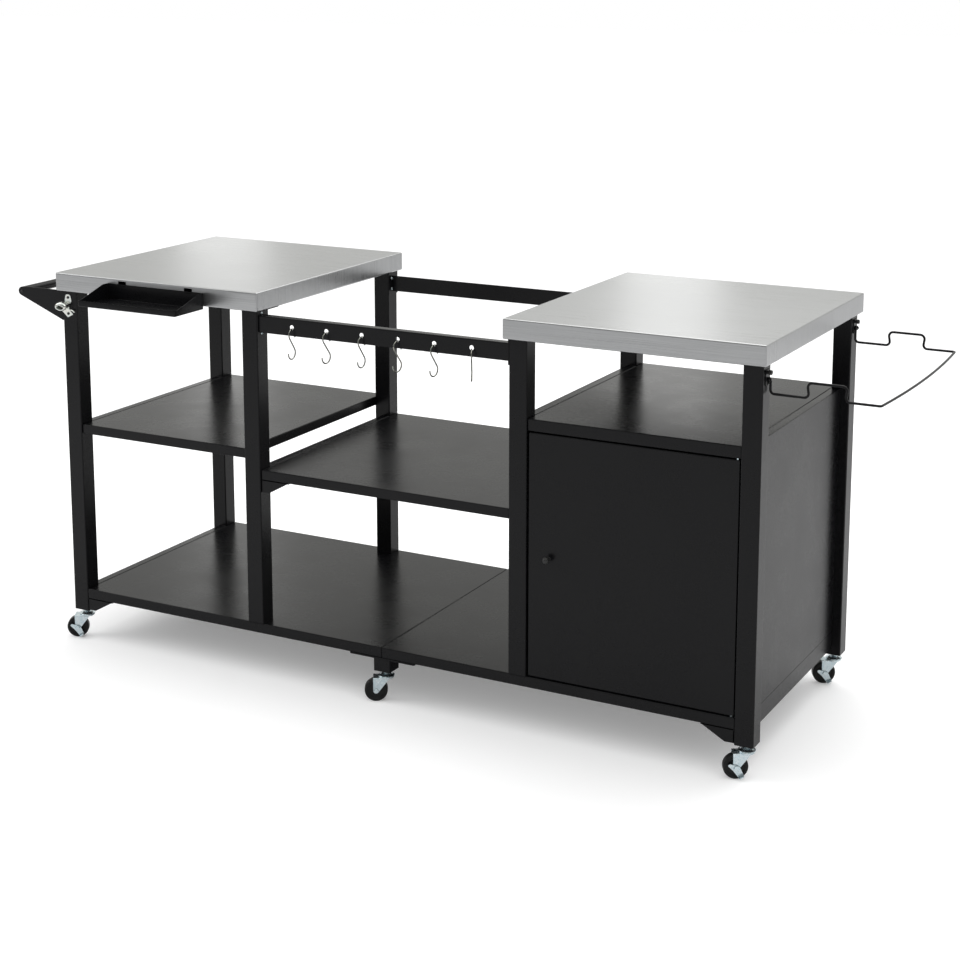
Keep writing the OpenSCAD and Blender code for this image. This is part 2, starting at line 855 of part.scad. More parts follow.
// Two pins on one axis: the lower one has the collar that carries the door
module hinge_pins() {
    head_r = hinge_in - sheet - fit;
    head_h = 2;
    reach = 7;
    lip_z = cabinet_z - cabinet_skirt + sheet;
    color(zinc)
        placed()
            translate([hinge_x, hinge_y, 0]) {
                translate([0, 0, door_z1 - reach])
                    cylinder(r = pin_r, h = lip_z - door_z1 + reach, $fn = round_fn);
                translate([0, 0, lip_z])
                    cylinder(r = head_r, h = head_h, $fn = round_fn);
                translate([0, 0, base_z - sheet - head_h])
                    cylinder(r = head_r, h = head_h, $fn = round_fn);
                translate([0, 0, base_z - sheet - head_h / 2])
                    cylinder(r = pin_r, h = sheet + door_low_gap + reach, $fn = round_fn);
                translate([0, 0, base_z])
                    cylinder(r = head_r, h = door_low_gap - fit, $fn = round_fn);
            }
}

module door_catch() {
    w = 16;
    h = 40;
    groove = 3;
    y0 = door_y + door_d + fit;
    color(black_plastic)
        placed()
            translate([leg_x[2] + leg, y0, (door_z0 + door_z1) / 2 - h / 2])
                difference() {
                    cube([w, leg_y[0] + leg - y0, h]);
                    translate([w - groove, -1, h / 2 - groove])
                        cube([groove + 1, w, 2 * groove]);
                }
}

module door() {
    w = door_x1 - door_x0;
    h = door_z1 - door_z0;
    lip = skirt_lip - 2;
    color(black_steel)
        placed()
            difference() {
                translate([door_x0, door_y, door_z0])
                    cube([w, door_d, h]);
                translate([door_x0 + sheet, door_y + sheet, door_z0 + sheet])
                    cube([w - 2 * sheet, door_d - 2 * sheet, h - 2 * sheet]);
                translate([door_x0 + lip, door_y + sheet, door_z0 + lip])
                    cube([w - 2 * lip, door_d, h - 2 * lip]);
                translate([hinge_x, hinge_y, door_z0 - 1])
                    cylinder(r = pin_r + running, h = h + 2, $fn = round_fn);
            }
}

module door_knob() {
    neck = 8;
    neck_r = 4;
    color(black_plastic)
        placed()
            translate([door_x0 + knob_in, door_y, (door_z0 + door_z1) / 2])
                rotate([90, 0, 0])
                    rotate_extrude($fn = wheel_fn)
                        intersection() {
                            union() {
                                square([neck_r, neck + knob_r]);
                                translate([0, neck + knob_r * 0.6])
                                    circle(r = knob_r, $fn = round_fn);
                            }
                            square([knob_r, neck + 2 * knob_r]);
                        }
}

// The outline of a handle bracket, seen from the front
module handle_outline() {
    tip = [bar_x, bar_z];
    top = top_low - fit;
    low = top_z - handle_low;
    right = leg_x[0] + leg;
    upper = [-handle_flat, top];
    lower = [leg_x[0], low];
    polygon([[right, low], [right, top], upper, touch(upper, tip, handle_tip, -1),
        tip, touch(lower, tip, handle_tip, 1), lower]);
    translate(tip)
        circle(r = handle_tip, $fn = round_fn);
}

module handle_brackets() {
    color(black_steel)
        placed()
            difference() {
                for (y = [leg_y[0], leg_y[1] + leg + handle_t])
                    translate([0, y, 0])
                        rotate([90, 0, 0])
                            linear_extrude(handle_t)
                                handle_outline();
                bolt_holes(handle_bolts);
            }
}

module handle_bar() {
    y0 = leg_y[0];
    y1 = leg_y[1] + leg;
    plug = 14;
    color(black_steel)
        placed()
            difference() {
                translate([bar_x, y0, bar_z])
                    rotate([-90, 0, 0])
                        cylinder(d = bar_d, h = y1 - y0, $fn = round_fn);
                translate([bar_x, y0 + plug, bar_z])
                    rotate([-90, 0, 0])
                        cylinder(d = bar_d - 2 * bar_wall, h = y1 - y0 - 2 * plug, $fn = round_fn);
                bolt_holes(bar_bolts);
            }
}

// A plate with two screw eyes, and a hood that catches the bottle cap
module bottle_opener() {
    eye_r = 9;
    web_w = 13;
    hood_wall = 2.5;
    hood_x = -6;
    y = leg_y[0] - handle_t;
    hood_z = (handle_screw_z[0] + handle_screw_z[1]) / 2 - 1;
    color(zinc)
        placed()
            difference() {
                union() {
                    for (z = handle_screw_z)
                        translate([handle_x, y, z])
                            rotate([90, 0, 0])
                                cylinder(r = eye_r, h = opener_t, $fn = round_fn);
                    translate([handle_x - web_w / 2, y - opener_t, handle_screw_z[1]])
                        cube([web_w, opener_t, handle_screw_step]);
                    translate([handle_x + hood_x, y, hood_z])
                        rotate([90, 0, 0])
                            cylinder(r = opener_r, h = opener_out, $fn = round_fn);
                }
                translate([handle_x + hood_x, y - opener_t, hood_z])
                    rotate([90, 0, 0])
                        cylinder(r = opener_r - hood_wall, h = opener_out - opener_t - hood_wall,
                            $fn = round_fn);
                translate([handle_x + hood_x - opener_r, y - opener_out - 1, hood_z - opener_r - 1])
                    cube([2 * opener_r, opener_out - opener_t + 1, opener_r - 2]);
                for (z = handle_screw_z)
                    translate([handle_x, y - opener_t, z])
                        rotate([90, 0, 0])
                            cylinder(r = bolt_head_r + 1, h = opener_out + 1, $fn = round_fn);
                bolt_holes(front_handle_bolts);
            }
}

// The clips on the right legs, each with the ear that a hoop end turns in
module hoop_brackets() {
    ear_r = hoop_wire + clip_t;
    color(black_steel)
        placed()
            difference() {
                for (y = leg_mid_y) {
                    translate([clip_x, y - clip_w / 2, clip_top - clip_h])
                        cube([clip_t, clip_w, clip_h]);
                    translate([clip_x, y - clip_t / 2, hoop_z - ear_r])
                        cube([hoop_x - clip_x, clip_t, 2 * ear_r]);
                    translate([hoop_x, y - clip_t / 2, hoop_z])
                        rotate([-90, 0, 0])
                            cylinder(r = ear_r, h = clip_t, $fn = round_fn);
                }
                for (y = leg_mid_y)
                    translate([hoop_x, y - clip_t, hoop_z])
                        rotate([-90, 0, 0])
                            cylinder(r = hoop_wire + running, h = 2 * clip_t, $fn = round_fn);
                knob_holes();
            }
}

module knob_holes() {
    for (y = leg_mid_y)
        translate([clip_x - bolt_len, y, hoop_knob_z])
            rotate([0, 90, 0])
                cylinder(r = bolt_r + bolt_clear, h = bolt_len + clip_t + 1, $fn = round_fn);
}

module hoop_knobs() {
    grip_r = 4.6;
    grip_h = 7;
    collar_r = 3;
    collar_h = 1.5;
    color(black_plastic)
        placed()
            for (y = leg_mid_y)
                translate([clip_x + clip_t, y, hoop_knob_z])
                    rotate([0, 90, 0]) {
                        translate([0, 0, 1 - bolt_len])
                            cylinder(r = bolt_r, h = bolt_len, $fn = round_fn);
                        cylinder(r = collar_r, h = collar_h, $fn = round_fn);
                        translate([0, 0, collar_h])
                            cylinder(r = grip_r, h = grip_h, $fn = round_fn);
                    }
}

// Corners of the hoop's wire from an arm's pin to its outer corner
function arm_path(y, pin_y) = [
    [hoop_x, pin_y, hoop_z],
    [hoop_x, y, hoop_z],
    [hoop_x, y, hoop_z - hoop_fall],
    [hoop_x + step_start + step_lean, y, hoop_z - hoop_fall],
    [hoop_x + step_start, y, hoop_z],
    [hoop_x + step_start + step_len, y, hoop_z],
    [hoop_x + step_start + step_len - step_lean, y, hoop_z - hoop_fall],
    [hoop_end, y, hoop_z - hoop_fall]];

function reversed(list) = [for (i = [len(list) - 1:-1:0]) list[i]];

module bag_hoop() {
    pin = 12;
    arm_bends = [0, 4, 8, 8, 9, 9, 8, 5];
    // The bow's bend takes up this share of each half of the outer bar
    share = 0.93;
    half_y = (arm_y[1] - arm_y[0]) / 2;
    bow_out = hoop_bow / (1 - share / 2);
    bow_bend = share * half_y * norm([bow_out, half_y]) / bow_out;
    front = arm_path(arm_y[0], arm_y[0] - pin);
    back = arm_path(arm_y[1], arm_y[1] + pin);
    mid = [[hoop_end + bow_out, (arm_y[0] + arm_y[1]) / 2, hoop_z - hoop_fall]];
    color(black_steel)
        placed()
            wire(concat(front, mid, reversed(back)),
                concat(arm_bends, [bow_bend], reversed(arm_bends)), hoop_wire);
}

// The tray hangs on two tabs that turn down behind the tabletop's edge
module tray() {
    reach = top_sheet + fit + tray_t;
    // Level stretches of an end wall's edge, at the back and at the front
    brow = [16, 10];
    lip_z = tray_z0 + tray_front_h;
    side = [
        [-fit, tray_z0], [-fit, tray_z1], [-brow[0], tray_z1],
        [brow[1] - tray_d, lip_z], [-tray_d, lip_z], [-tray_d, tray_z0]];
    color(black_steel)
        placed() {
            difference() {
                translate([tray_x - tray_w / 2, 0, 0])
                    rotate([90, 0, 90])
                        linear_extrude(tray_w)
                            polygon(side);
                translate([tray_x - tray_w / 2 + tray_t, tray_t - tray_d, tray_z0 + tray_t])
                    cube([tray_w - 2 * tray_t, tray_d - 2 * tray_t - fit, tray_h]);
            }
            for (s = [-1, 1])
                translate([tray_x + s * tab_step / 2 - tab_w / 2, 0, tab_z]) {
                    translate([0, -fit - tray_t, 0])
                        cube([tab_w, reach + fit + tray_t, tray_t]);
                    translate([0, top_sheet + fit, -tab_hook])
                        cube([tab_w, tray_t, tab_hook + tray_t]);
                }
        }
}

// A hook in the plane across the rail: y towards the back, z from the wire's highest point
module hook(i) {
    high = [0, -hook_top_r];
    low = [-hook_shift, -hook_top_r - hook_drop];
    span = low - high;
    heading = atan2(span[1], span[0]);
    spread = acos((hook_top_r + hook_low_r) / norm(span));
    a_high = heading - spread;
    a_low = heading + 180 - spread;
    p_high = high + hook_top_r * [cos(a_high), sin(a_high)];
    p_low = low + hook_low_r * [cos(a_low), sin(a_low)];
    along = unit(p_low - p_high);
    high_short = joint_gap / hook_top_r * 180 / PI;
    low_short = joint_gap / hook_low_r * 180 / PI;
    high_end = -42;
    low_turn = 222;
    color(nickel)
        placed()
            translate([bay_x0 + i * hook_pitch, leg_y[0] + shelf_set + rail_t / 2,
                hole_z - hole_r + hook_wire + fit])
                rotate([hook_lean, 0, -hook_yaw[i - 1]]) {
                    arc(high, hook_top_r, high_end, 360 + a_high - high_end - high_short, hook_wire);
                    joint(concat(0, p_high), concat(0, along), hook_wire);
                    rod(concat(0, p_high + along * joint_gap), concat(0, p_low - along * joint_gap), hook_wire);
                    joint(concat(0, p_low), concat(0, along), hook_wire);
                    arc(low, hook_low_r, a_low - low_turn, low_turn - low_short, hook_wire);
                }
}

// The fixed half of a caster: stem with its nut, bearing plate and the rivet that the fork turns on
module caster_stems() {
    rivet_r = stem_r + 2.5;
    rivet_h = 2.4;
    rivet_top = crown_low - fit;
    dome_r = race_r * 0.6;
    nut_r = stem_r * 1.7;
    nut_h = (caster_h - race_low - race_h) * 0.7;
    color(zinc)
        placed()
            for (p = caster_at)
                translate(p) {
                    translate([0, 0, race_low])
                        cylinder(r1 = race_r, r2 = dome_r, h = race_h, $fn = wheel_fn);
                    translate([0, 0, caster_h - nut_h])
                        cylinder(r = nut_r, h = nut_h, $fn = 6);
                    translate([0, 0, rivet_top - rivet_h / 2])
                        cylinder(r = stem_r, h = caster_h + stem_h - rivet_top + rivet_h / 2,
                            $fn = round_fn);
                    translate([0, 0, rivet_top - rivet_h])
                        cylinder(r = rivet_r, h = rivet_h, $fn = round_fn);
                }
}

module leg_plugs() {
    side = leg - 2 * leg_wall - fit;
    color(black_plastic)
        placed()
            for (p = caster_at)
                translate([p[0], p[1], caster_h])
                    difference() {
                        translate([-side / 2, -side / 2, 0])
                            cube([side, side, plug_h]);
                        translate([0, 0, -1])
                            cylinder(r = stem_r + fit / 3, h = plug_h + 2, $fn = round_fn);
                    }
}

// Puts children in a caster's own frame: x along the trail, y along the axle
module at_caster(i) {
    placed()
        translate(caster_at[i - 1])
            rotate([0, 0, trail_dir])
                children();
}

// A cheek's outline: from the crown down to a round end at the axle
module cheek_outline() {
    end_r = axle_r + 3;
    crown_front = 8;
    hub = [trail, wheel_r];
    front = [-crown_front, crown_low + fork_t];
    rear = [crown_rear, crown_low + fork_t];
    polygon([front, touch(front, hub, end_r, -1), hub, touch(rear, hub, end_r, 1), rear]);
    translate(hub)
        circle(r = end_r, $fn = round_fn);
}

module fork(i, braked) {
    head_r = axle_r + 2.5;
    head_h = 2.2;
    pedal_room = braked ? fork_t + 2 * fit : 0;
    y_nut = cheek_in + fork_t + pedal_room;
    color(zinc)
        at_caster(i) {
            difference() {
                union() {
                    translate([0, 0, crown_low])
                        cylinder(r1 = race_r - 2, r2 = race_r - 1, h = crown_h, $fn = wheel_fn);
                    translate([0, -cheek_in - fork_t, crown_low])
                        cube([crown_rear, 2 * (cheek_in + fork_t), fork_t]);
                    for (y = [cheek_in, -cheek_in - fork_t])
                        translate([0, y + fork_t, 0])
                            rotate([90, 0, 0])
                                linear_extrude(fork_t)
                                    cheek_outline();
                }
                translate([0, 0, crown_low - 1])
                    cylinder(r = stem_r + running, h = crown_h + 2, $fn = round_fn);
                translate([trail, -far, wheel_r])
                    rotate([-90, 0, 0])
                        cylinder(r = axle_r, h = 2 * far, $fn = round_fn);
            }
            translate([trail, -cheek_in - fork_t, wheel_r])
                rotate([-90, 0, 0])
                    cylinder(r = axle_r, h = y_nut + cheek_in + fork_t, $fn = round_fn);
            for (y = [-cheek_in - fork_t - head_h, y_nut])
                translate([trail, y, wheel_r])
                    rotate([-90, 0, 0])
                        cylinder(r = head_r, h = head_h, $fn = round_fn);
        }
}

module wheel(i) {
    edge = 3;
    hub_r = axle_r + 4;
    half = wheel_w / 2;
    hub_half = cheek_in - fit;
    recess = 1.6;
    rim_r = wheel_r * 0.72;
    color(black_plastic)
        at_caster(i)
            translate([trail, 0, wheel_r])
                rotate([90, 0, 0])
                    rotate_extrude($fn = wheel_fn)
                        difference() {
                            union() {
                                translate([axle_r + running, -half])
                                    square([wheel_r - edge - axle_r - running, wheel_w]);
                                translate([axle_r + running, edge - half])
                                    square([wheel_r - axle_r - running, wheel_w - 2 * edge]);
                                for (y = [edge - half, half - edge])
                                    translate([wheel_r - edge, y])
                                        circle(r = edge, $fn = round_fn);
                                translate([axle_r + running, -hub_half])
                                    square([hub_r - axle_r - running, 2 * hub_half]);
                            }
                            for (y = [half - recess, -half])
                                translate([hub_r + 1, y])
                                    square([rim_r - hub_r - 1, recess]);
                        }
}

// The brake pedal turns on the axle, outside the cheek
module pedal(i) {
    arm_w = 11;
    arm_up = 18;
    arm_down = 20;
    tread = 8;
    up_tilt = 22;
    down_tilt = 60;
    color(zinc)
        at_caster(i)
            translate([trail, cheek_in + 2 * fork_t + fit, wheel_r])
                rotate([90, 0, 0])
                    difference() {
                        union() {
                            linear_extrude(fork_t) {
                                circle(r = arm_w / 2 + 1.5, $fn = round_fn);
                                rotate(up_tilt)
                                    translate([0, -arm_w / 2])
                                        square([arm_up, arm_w]);
                                rotate(down_tilt)
                                    translate([-arm_down, -arm_w / 2])
                                        square([arm_down, arm_w]);
                            }
                            rotate(down_tilt)
                                translate([-arm_down, -arm_w / 2, -tread])
                                    cube([fork_t, arm_w, tread + fork_t]);
                        }
                        translate([0, 0, -1])
                            cylinder(r = axle_r + running, h = fork_t + 2, $fn = round_fn);
                    }
}

module frame_bolts() {
    color(zinc)
        placed()
            for (b = all_bolts)
                translate(b[0])
                    rotate(b[1])
                        bolt();
}

top_left();
top_right();
under_pans();
top_plates();
leg_left_front();
leg_left_back();
leg_inner_left_front();
leg_inner_left_back();
leg_inner_right_front();
leg_inner_right_back();
leg_right_front();
leg_right_back();
stub_legs();
side_rails();
base_left();
base_right();
shelf_left();
shelf_middle();
cabinet_top();
splice_plates();
corner_brackets();
hook_rail();
back_rail();
cabinet_panels();
hinge_pins();
door_catch();
handle_brackets();
handle_bar();
bottle_opener();
hoop_brackets();
hoop_knobs();
caster_stems();
leg_plugs();
frame_bolts();
door();
door_knob();
tray();
bag_hoop();
hook(1);  // hook_1
hook(2);  // hook_2
hook(3);  // hook_3
hook(4);  // hook_4
hook(5);  // hook_5
hook(6);  // hook_6
fork(1, true);  // fork_1
fork(2, false);  // fork_2
fork(3, true);  // fork_3
fork(4, true);  // fork_4
fork(5, false);  // fork_5
fork(6, true);  // fork_6
wheel(1);  // wheel_1
wheel(2);  // wheel_2
wheel(3);  // wheel_3
wheel(4);  // wheel_4
wheel(5);  // wheel_5
wheel(6);  // wheel_6
pedal(1);  // pedal_1
pedal(3);  // pedal_3
pedal(4);  // pedal_4
pedal(6);  // pedal_6
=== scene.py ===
"""Looks of a grill cart: folded sheet steel, brushed tabletops, wire hooks and zinc-plated casters.

Shapes are written in millimetres, in the cart's own frame: x along the cart from the left tabletop's
end, y from its front edge to the back, z up from the floor.
"""

import json
import logging
import math
from collections.abc import Iterable, Sequence
from dataclasses import dataclass, field
from enum import Enum

import bmesh
import bpy
from mathutils import Matrix, Vector

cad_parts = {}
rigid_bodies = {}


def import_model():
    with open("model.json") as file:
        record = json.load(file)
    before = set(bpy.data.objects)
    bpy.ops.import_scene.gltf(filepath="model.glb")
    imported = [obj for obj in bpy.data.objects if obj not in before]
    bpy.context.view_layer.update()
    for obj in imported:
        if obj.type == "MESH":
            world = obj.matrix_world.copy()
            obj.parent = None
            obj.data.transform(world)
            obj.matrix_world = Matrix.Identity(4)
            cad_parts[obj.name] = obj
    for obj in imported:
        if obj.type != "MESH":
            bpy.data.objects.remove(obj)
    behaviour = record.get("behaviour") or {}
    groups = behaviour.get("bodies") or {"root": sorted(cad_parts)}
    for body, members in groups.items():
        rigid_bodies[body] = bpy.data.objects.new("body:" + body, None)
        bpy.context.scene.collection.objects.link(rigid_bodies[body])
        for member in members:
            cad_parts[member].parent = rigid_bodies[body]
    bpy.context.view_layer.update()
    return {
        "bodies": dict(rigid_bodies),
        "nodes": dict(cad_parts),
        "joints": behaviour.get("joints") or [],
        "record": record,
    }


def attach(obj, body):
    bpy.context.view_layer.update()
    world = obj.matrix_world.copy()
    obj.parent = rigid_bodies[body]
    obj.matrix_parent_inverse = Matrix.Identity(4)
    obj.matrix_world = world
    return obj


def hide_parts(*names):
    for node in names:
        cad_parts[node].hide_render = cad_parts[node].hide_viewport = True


LOG = logging.getLogger("grill_cart")
MM = 0.001
TIP_STEPS = 14
SMALLEST_R = 0.01
NEAR = 0.01
DOUBLES = 0.0005
SENSOR = 36.0
PICTURE = 960
AIM = (0.0, 0.0, 0.5)
Point = tuple[float, float]
Triple = tuple[float, float, float]
Site = tuple[Triple, Matrix]
Ring = list[Vector]


class Slot(Enum):
    """The record's material slots."""

    POWDER = "powder_coat"
    STAINLESS = "stainless"
    ZINC = "zinc"
    NICKEL = "nickel"
    PLASTIC = "black_plastic"
    RUBBER = "wheel_rubber"


class Ends(Enum):
    """How the ends of a skin of rings are closed."""

    FILLED = "both ends filled"
    FIRST = "only the first end filled"
    JOINED = "the last ring joined to the first"


class Socket:
    """A shader value that can be used in Python sums."""

    def __init__(self, graph: "Graph", link: bpy.types.NodeSocket) -> None:
        """Keeps the graph and the output that holds the value."""
        self.graph = graph
        self.link = link

    def _math(self, operation: str, first: object, second: object) -> "Socket":
        """Adds a Math node.

        Args:
            operation: The node's operation.
            first: The first value or socket.
            second: The second value or socket.

        Returns:
            The node's result.
        """
        return self.graph.node("ShaderNodeMath", {"operation": operation}, {0: first, 1: second})

    def __add__(self, other: object) -> "Socket":
        """Returns self + other."""
        return self._math("ADD", self, other)

    def __radd__(self, other: object) -> "Socket":
        """Returns other + self."""
        return self._math("ADD", other, self)

    def __sub__(self, other: object) -> "Socket":
        """Returns self - other."""
        return self._math("SUBTRACT", self, other)

    def __rsub__(self, other: object) -> "Socket":
        """Returns other - self."""
        return self._math("SUBTRACT", other, self)

    def __mul__(self, other: object) -> "Socket":
        """Returns self * other."""
        return self._math("MULTIPLY", self, other)

    def __gt__(self, other: object) -> "Socket":
        """Returns 1 where self is larger than other, else 0."""
        return self._math("GREATER_THAN", self, other)


class Graph:
    """The nodes of one material or world."""

    def __init__(self, tree: bpy.types.NodeTree) -> None:
        """Empties the tree and keeps it."""
        self.tree = tree
        tree.nodes.clear()

    def _feed(self, node: bpy.types.Node, inputs: dict) -> None:
        """Sets or links a node's sockets.

        Args:
            node: The node to feed.
            inputs: Values or sockets, by the input's name or number.
        """
        for key, value in inputs.items():
            if isinstance(value, Socket):
                self.tree.links.new(value.link, node.inputs[key])
            else:
                node.inputs[key].default_value = value

    def node(self, kind: str, settings: dict | None = None, inputs: dict | None = None,
             output: str | int = 0) -> Socket:
        """Adds a node.

        Args:
            kind: The node's type.
            settings: The node's own settings; a ramp's stops are under "stops".
            inputs: Values or sockets, by the input's name or number.
            output: The output that is wanted.

        Returns:
            That output.
        """
        made = self.tree.nodes.new(kind)
        for key, value in (settings or {}).items():
            if key == "stops":
                ramp = made.color_ramp
                while len(ramp.elements) < len(value):
                    ramp.elements.new(0.5)
                for element, (place, shade) in zip(ramp.elements, value):
                    element.position = place
                    element.color = (shade, shade, shade, 1)
            else:
                setattr(made, key, value)
        self._feed(made, inputs or {})
        return Socket(self, made.outputs[output]) if made.outputs else Socket(self, None)

    def noise(self, vector: Socket, scale: float, detail: float = 2, roughness: float = 0.5) -> Socket:
        """Adds a noise texture.

        Args:
            vector: Where to read it.
            scale: Its frequency, per metre.
            detail: Its octaves.
            roughness: How strong the finer octaves are.

        Returns:
            Its value, around a half.
        """
        inputs = {"Vector": vector, "Scale": scale, "Detail": detail, "Roughness": roughness}
        return self.node("ShaderNodeTexNoise", {}, inputs, "Fac")

    def ramp(self, value: Socket, stops: Sequence[Point]) -> Socket:
        """Maps a value through a ramp of greys.

        Args:
            value: The value to map.
            stops: Places and greys.

        Returns:
            The mapped value.
        """
        return self.node("ShaderNodeValToRGB", {"stops": stops}, {"Fac": value}, "Color")

    def blend(self, share: object, low: tuple, high: tuple) -> Socket:
        """Mixes two colours.

        Args:
            share: How much of the second colour.
            low: The first colour.
            high: The second colour.

        Returns:
            The mixed colour.
        """
        inputs = {0: share, 6: (*low, 1), 7: (*high, 1)}
        return self.node("ShaderNodeMix", {"data_type": "RGBA"}, inputs, 2)

    def stretched(self, vector: Socket, scale: tuple) -> Socket:
        """Returns the vector multiplied by a scale along each axis."""
        return self.node("ShaderNodeVectorMath", {"operation": "MULTIPLY"}, {0: vector, 1: scale})


@dataclass(frozen=True)
class Finish:
    """A surface finish; each kind paints its own material and has its own depth.

    Args:
        name: The material's name.
        slot: The record's slot that it stands for; not used.
        colour: Its base colour.
        roughness: Its mean roughness.
        metallic: 1 for bare metal, 0 for paint, plastic and rubber.
        specular: The strength of its reflections seen head-on.
        depth: The depth of its bumps in metres.
    """

    name: str
    slot: Slot
    colour: Triple
    roughness: float
    metallic: float = 0.0
    specular: float = 0.5
    depth: float = 0.0

    def paint(self, graph: Graph, place: Socket) -> tuple[object, object, object]:
        """Works out what varies over the surface.

        Args:
            graph: The material's graph.
            place: The point on the piece, in metres.

        Returns:
            Colour, roughness and bump height.
        """
        raise NotImplementedError

    def material(self) -> bpy.types.Material:
        """Makes the material once, and finds it again after that.

        Returns:
            The material.
        """
        found = bpy.data.materials.get(self.name)
        if found is not None:
            return found
        made = bpy.data.materials.new(self.name)
        made.use_nodes = True
        graph = Graph(made.node_tree)
        place = graph.node("ShaderNodeTexCoord", output="Object")
        colour, roughness, height = self.paint(graph, place)
        bump = graph.node("ShaderNodeBump", {}, {"Strength": 1.0, "Distance": self.depth, "Height": height})
        surface = graph.node("ShaderNodeBsdfPrincipled", {}, {
            "Base Color": colour, "Roughness": roughness, "Metallic": self.metallic,
            "Specular IOR Level": self.specular, "Normal": bump})
        graph.node("ShaderNodeOutputMaterial", {}, {"Surface": surface})
        made.diffuse_color = (*self.colour, 1)
        return made


@dataclass(frozen=True)
class PowderCoat(Finish):
    """Semi-gloss powder coat: a fine orange peel, patches of haze and a little dust.

    Args:
        peel: Frequency of the peel, per metre.
        haze: Frequency of the haze.
        dust: Frequency of the dust.
    """

    depth: float = 0.000025
    peel: float = 620.0
    haze: float = 9.0
    dust: float = 1400.0

    def paint(self, graph: Graph, place: Socket) -> tuple[object, object, object]:
        """Works out what varies over the coat.

        Args:
            graph: The material's graph.
            place: The point on the piece, in metres.

        Returns:
            Colour, roughness and bump height.
        """
        peel = graph.noise(place, self.peel, 2.0, 0.55)
        haze = graph.noise(place, self.haze, 3.0, 0.6)
        speck = graph.ramp(graph.noise(place, self.dust, 1.0), [(0.66, 0.0), (0.74, 1.0)])
        lighter = tuple(c * 1.6 + 0.003 for c in self.colour)
        shade = graph.blend(haze * 0.5 + speck * 0.25, self.colour, lighter)
        roughness = self.roughness + (haze - 0.5) * 0.12 + (peel - 0.5) * 0.06
        return shade, roughness, peel


@dataclass(frozen=True)
class Brushed(Finish):
    """Brushed stainless sheet: long fine lines along the cart, which run on down its folded ends.

    Args:
        along: Frequency of the fine lines along their run, per metre.
        across: Their frequency across it.
        broad: Frequency of the broad streaks along the three axes.
        cloud: Frequency of the dull patches.
    """

    depth: float = 0.000018
    along: float = 7.0
    across: float = 900.0
    broad: Triple = (1.6, 120.0, 120.0)
    cloud: float = 3.0

    def paint(self, graph: Graph, place: Socket) -> tuple[object, object, object]:
        """Works out the brushing.

        Args:
            graph: The material's graph.
            place: The point on the piece, in metres.

        Returns:
            Colour, roughness and bump height.
        """
        normal = graph.node("ShaderNodeNewGeometry", output="True Normal")
        sideways = graph.node("ShaderNodeSeparateXYZ", {}, {0: normal}, "X")
        end_face = (sideways * sideways) > 0.5
        along = graph.stretched(place, (self.along, self.across, self.across))
        down = graph.stretched(place, (self.across, self.across, self.along))
        fine = graph.noise(along, 1.0, 3.0, 0.65) * (1 - end_face)
        fine = fine + graph.noise(down, 1.0, 3.0, 0.65) * end_face
        broad = graph.noise(graph.stretched(place, self.broad), 1.0, 2.0)
        cloud = graph.noise(place, self.cloud, 3.0)
        lines = fine * 0.86 + broad * 0.14
        darker = tuple(c * 0.85 for c in self.colour)
        lighter = tuple(min(1.0, c * 1.1) for c in self.colour)
        shade = graph.blend(graph.ramp(lines, [(0.32, 0.0), (0.68, 1.0)]), darker, lighter)
        roughness = self.roughness + (lines - 0.5) * 0.2 + (cloud - 0.5) * 0.06
        return shade, roughness, lines


@dataclass(frozen=True)
class Plated(Finish):
    """Zinc or nickel plate: a soft bluish cloud and fine drawing marks.

    Args:
        cloud: Frequency of the cloud, per metre.
        marks: Frequency of the marks.
    """

    depth: float = 0.00003
    cloud: float = 160.0
    marks: float = 1500.0

    def paint(self, graph: Graph, place: Socket) -> tuple[object, object, object]:
        """Works out the plating.

        Args:
            graph: The material's graph.
            place: The point on the piece, in metres.

        Returns:
            Colour, roughness and bump height.
        """
        cloud = graph.noise(place, self.cloud, 3.0, 0.6)
        marks = graph.noise(place, self.marks, 2.0)
        cooler = (self.colour[0] * 0.78, self.colour[1] * 0.86, self.colour[2] * 0.9)
        shade = graph.blend(graph.ramp(cloud, [(0.35, 0.0), (0.65, 1.0)]), cooler, self.colour)
        roughness = self.roughness + (cloud - 0.5) * 0.18 + (marks - 0.5) * 0.1
        return shade, roughness, marks * 0.6 + cloud * 0.4


@dataclass(frozen=True)
class Moulded(Finish):
    """Moulded plastic or rubber: a fine spark texture with scuffs.

    Args:
        grain: Frequency of the texture, per metre.
        scuffs: Frequency of the scuffs.
    """

    depth: float = 0.00006
    grain: float = 1100.0
    scuffs: float = 60.0

    def paint(self, graph: Graph, place: Socket) -> tuple[object, object, object]:
        """Works out the moulding's texture.

        Args:
            graph: The material's graph.
            place: The point on the piece, in metres.

        Returns:
            Colour, roughness and bump height.
        """
        grain = graph.noise(place, self.grain, 3.0, 0.6)
        scuff = graph.ramp(graph.noise(place, self.scuffs, 4.0, 0.7), [(0.5, 0.0), (0.75, 1.0)])
        lighter = tuple(c * 2.4 + 0.003 for c in self.colour)
        shade = graph.blend(scuff * 0.5 + grain * 0.2, self.colour, lighter)
        return shade, self.roughness + scuff * 0.1 + (grain - 0.5) * 0.08, grain


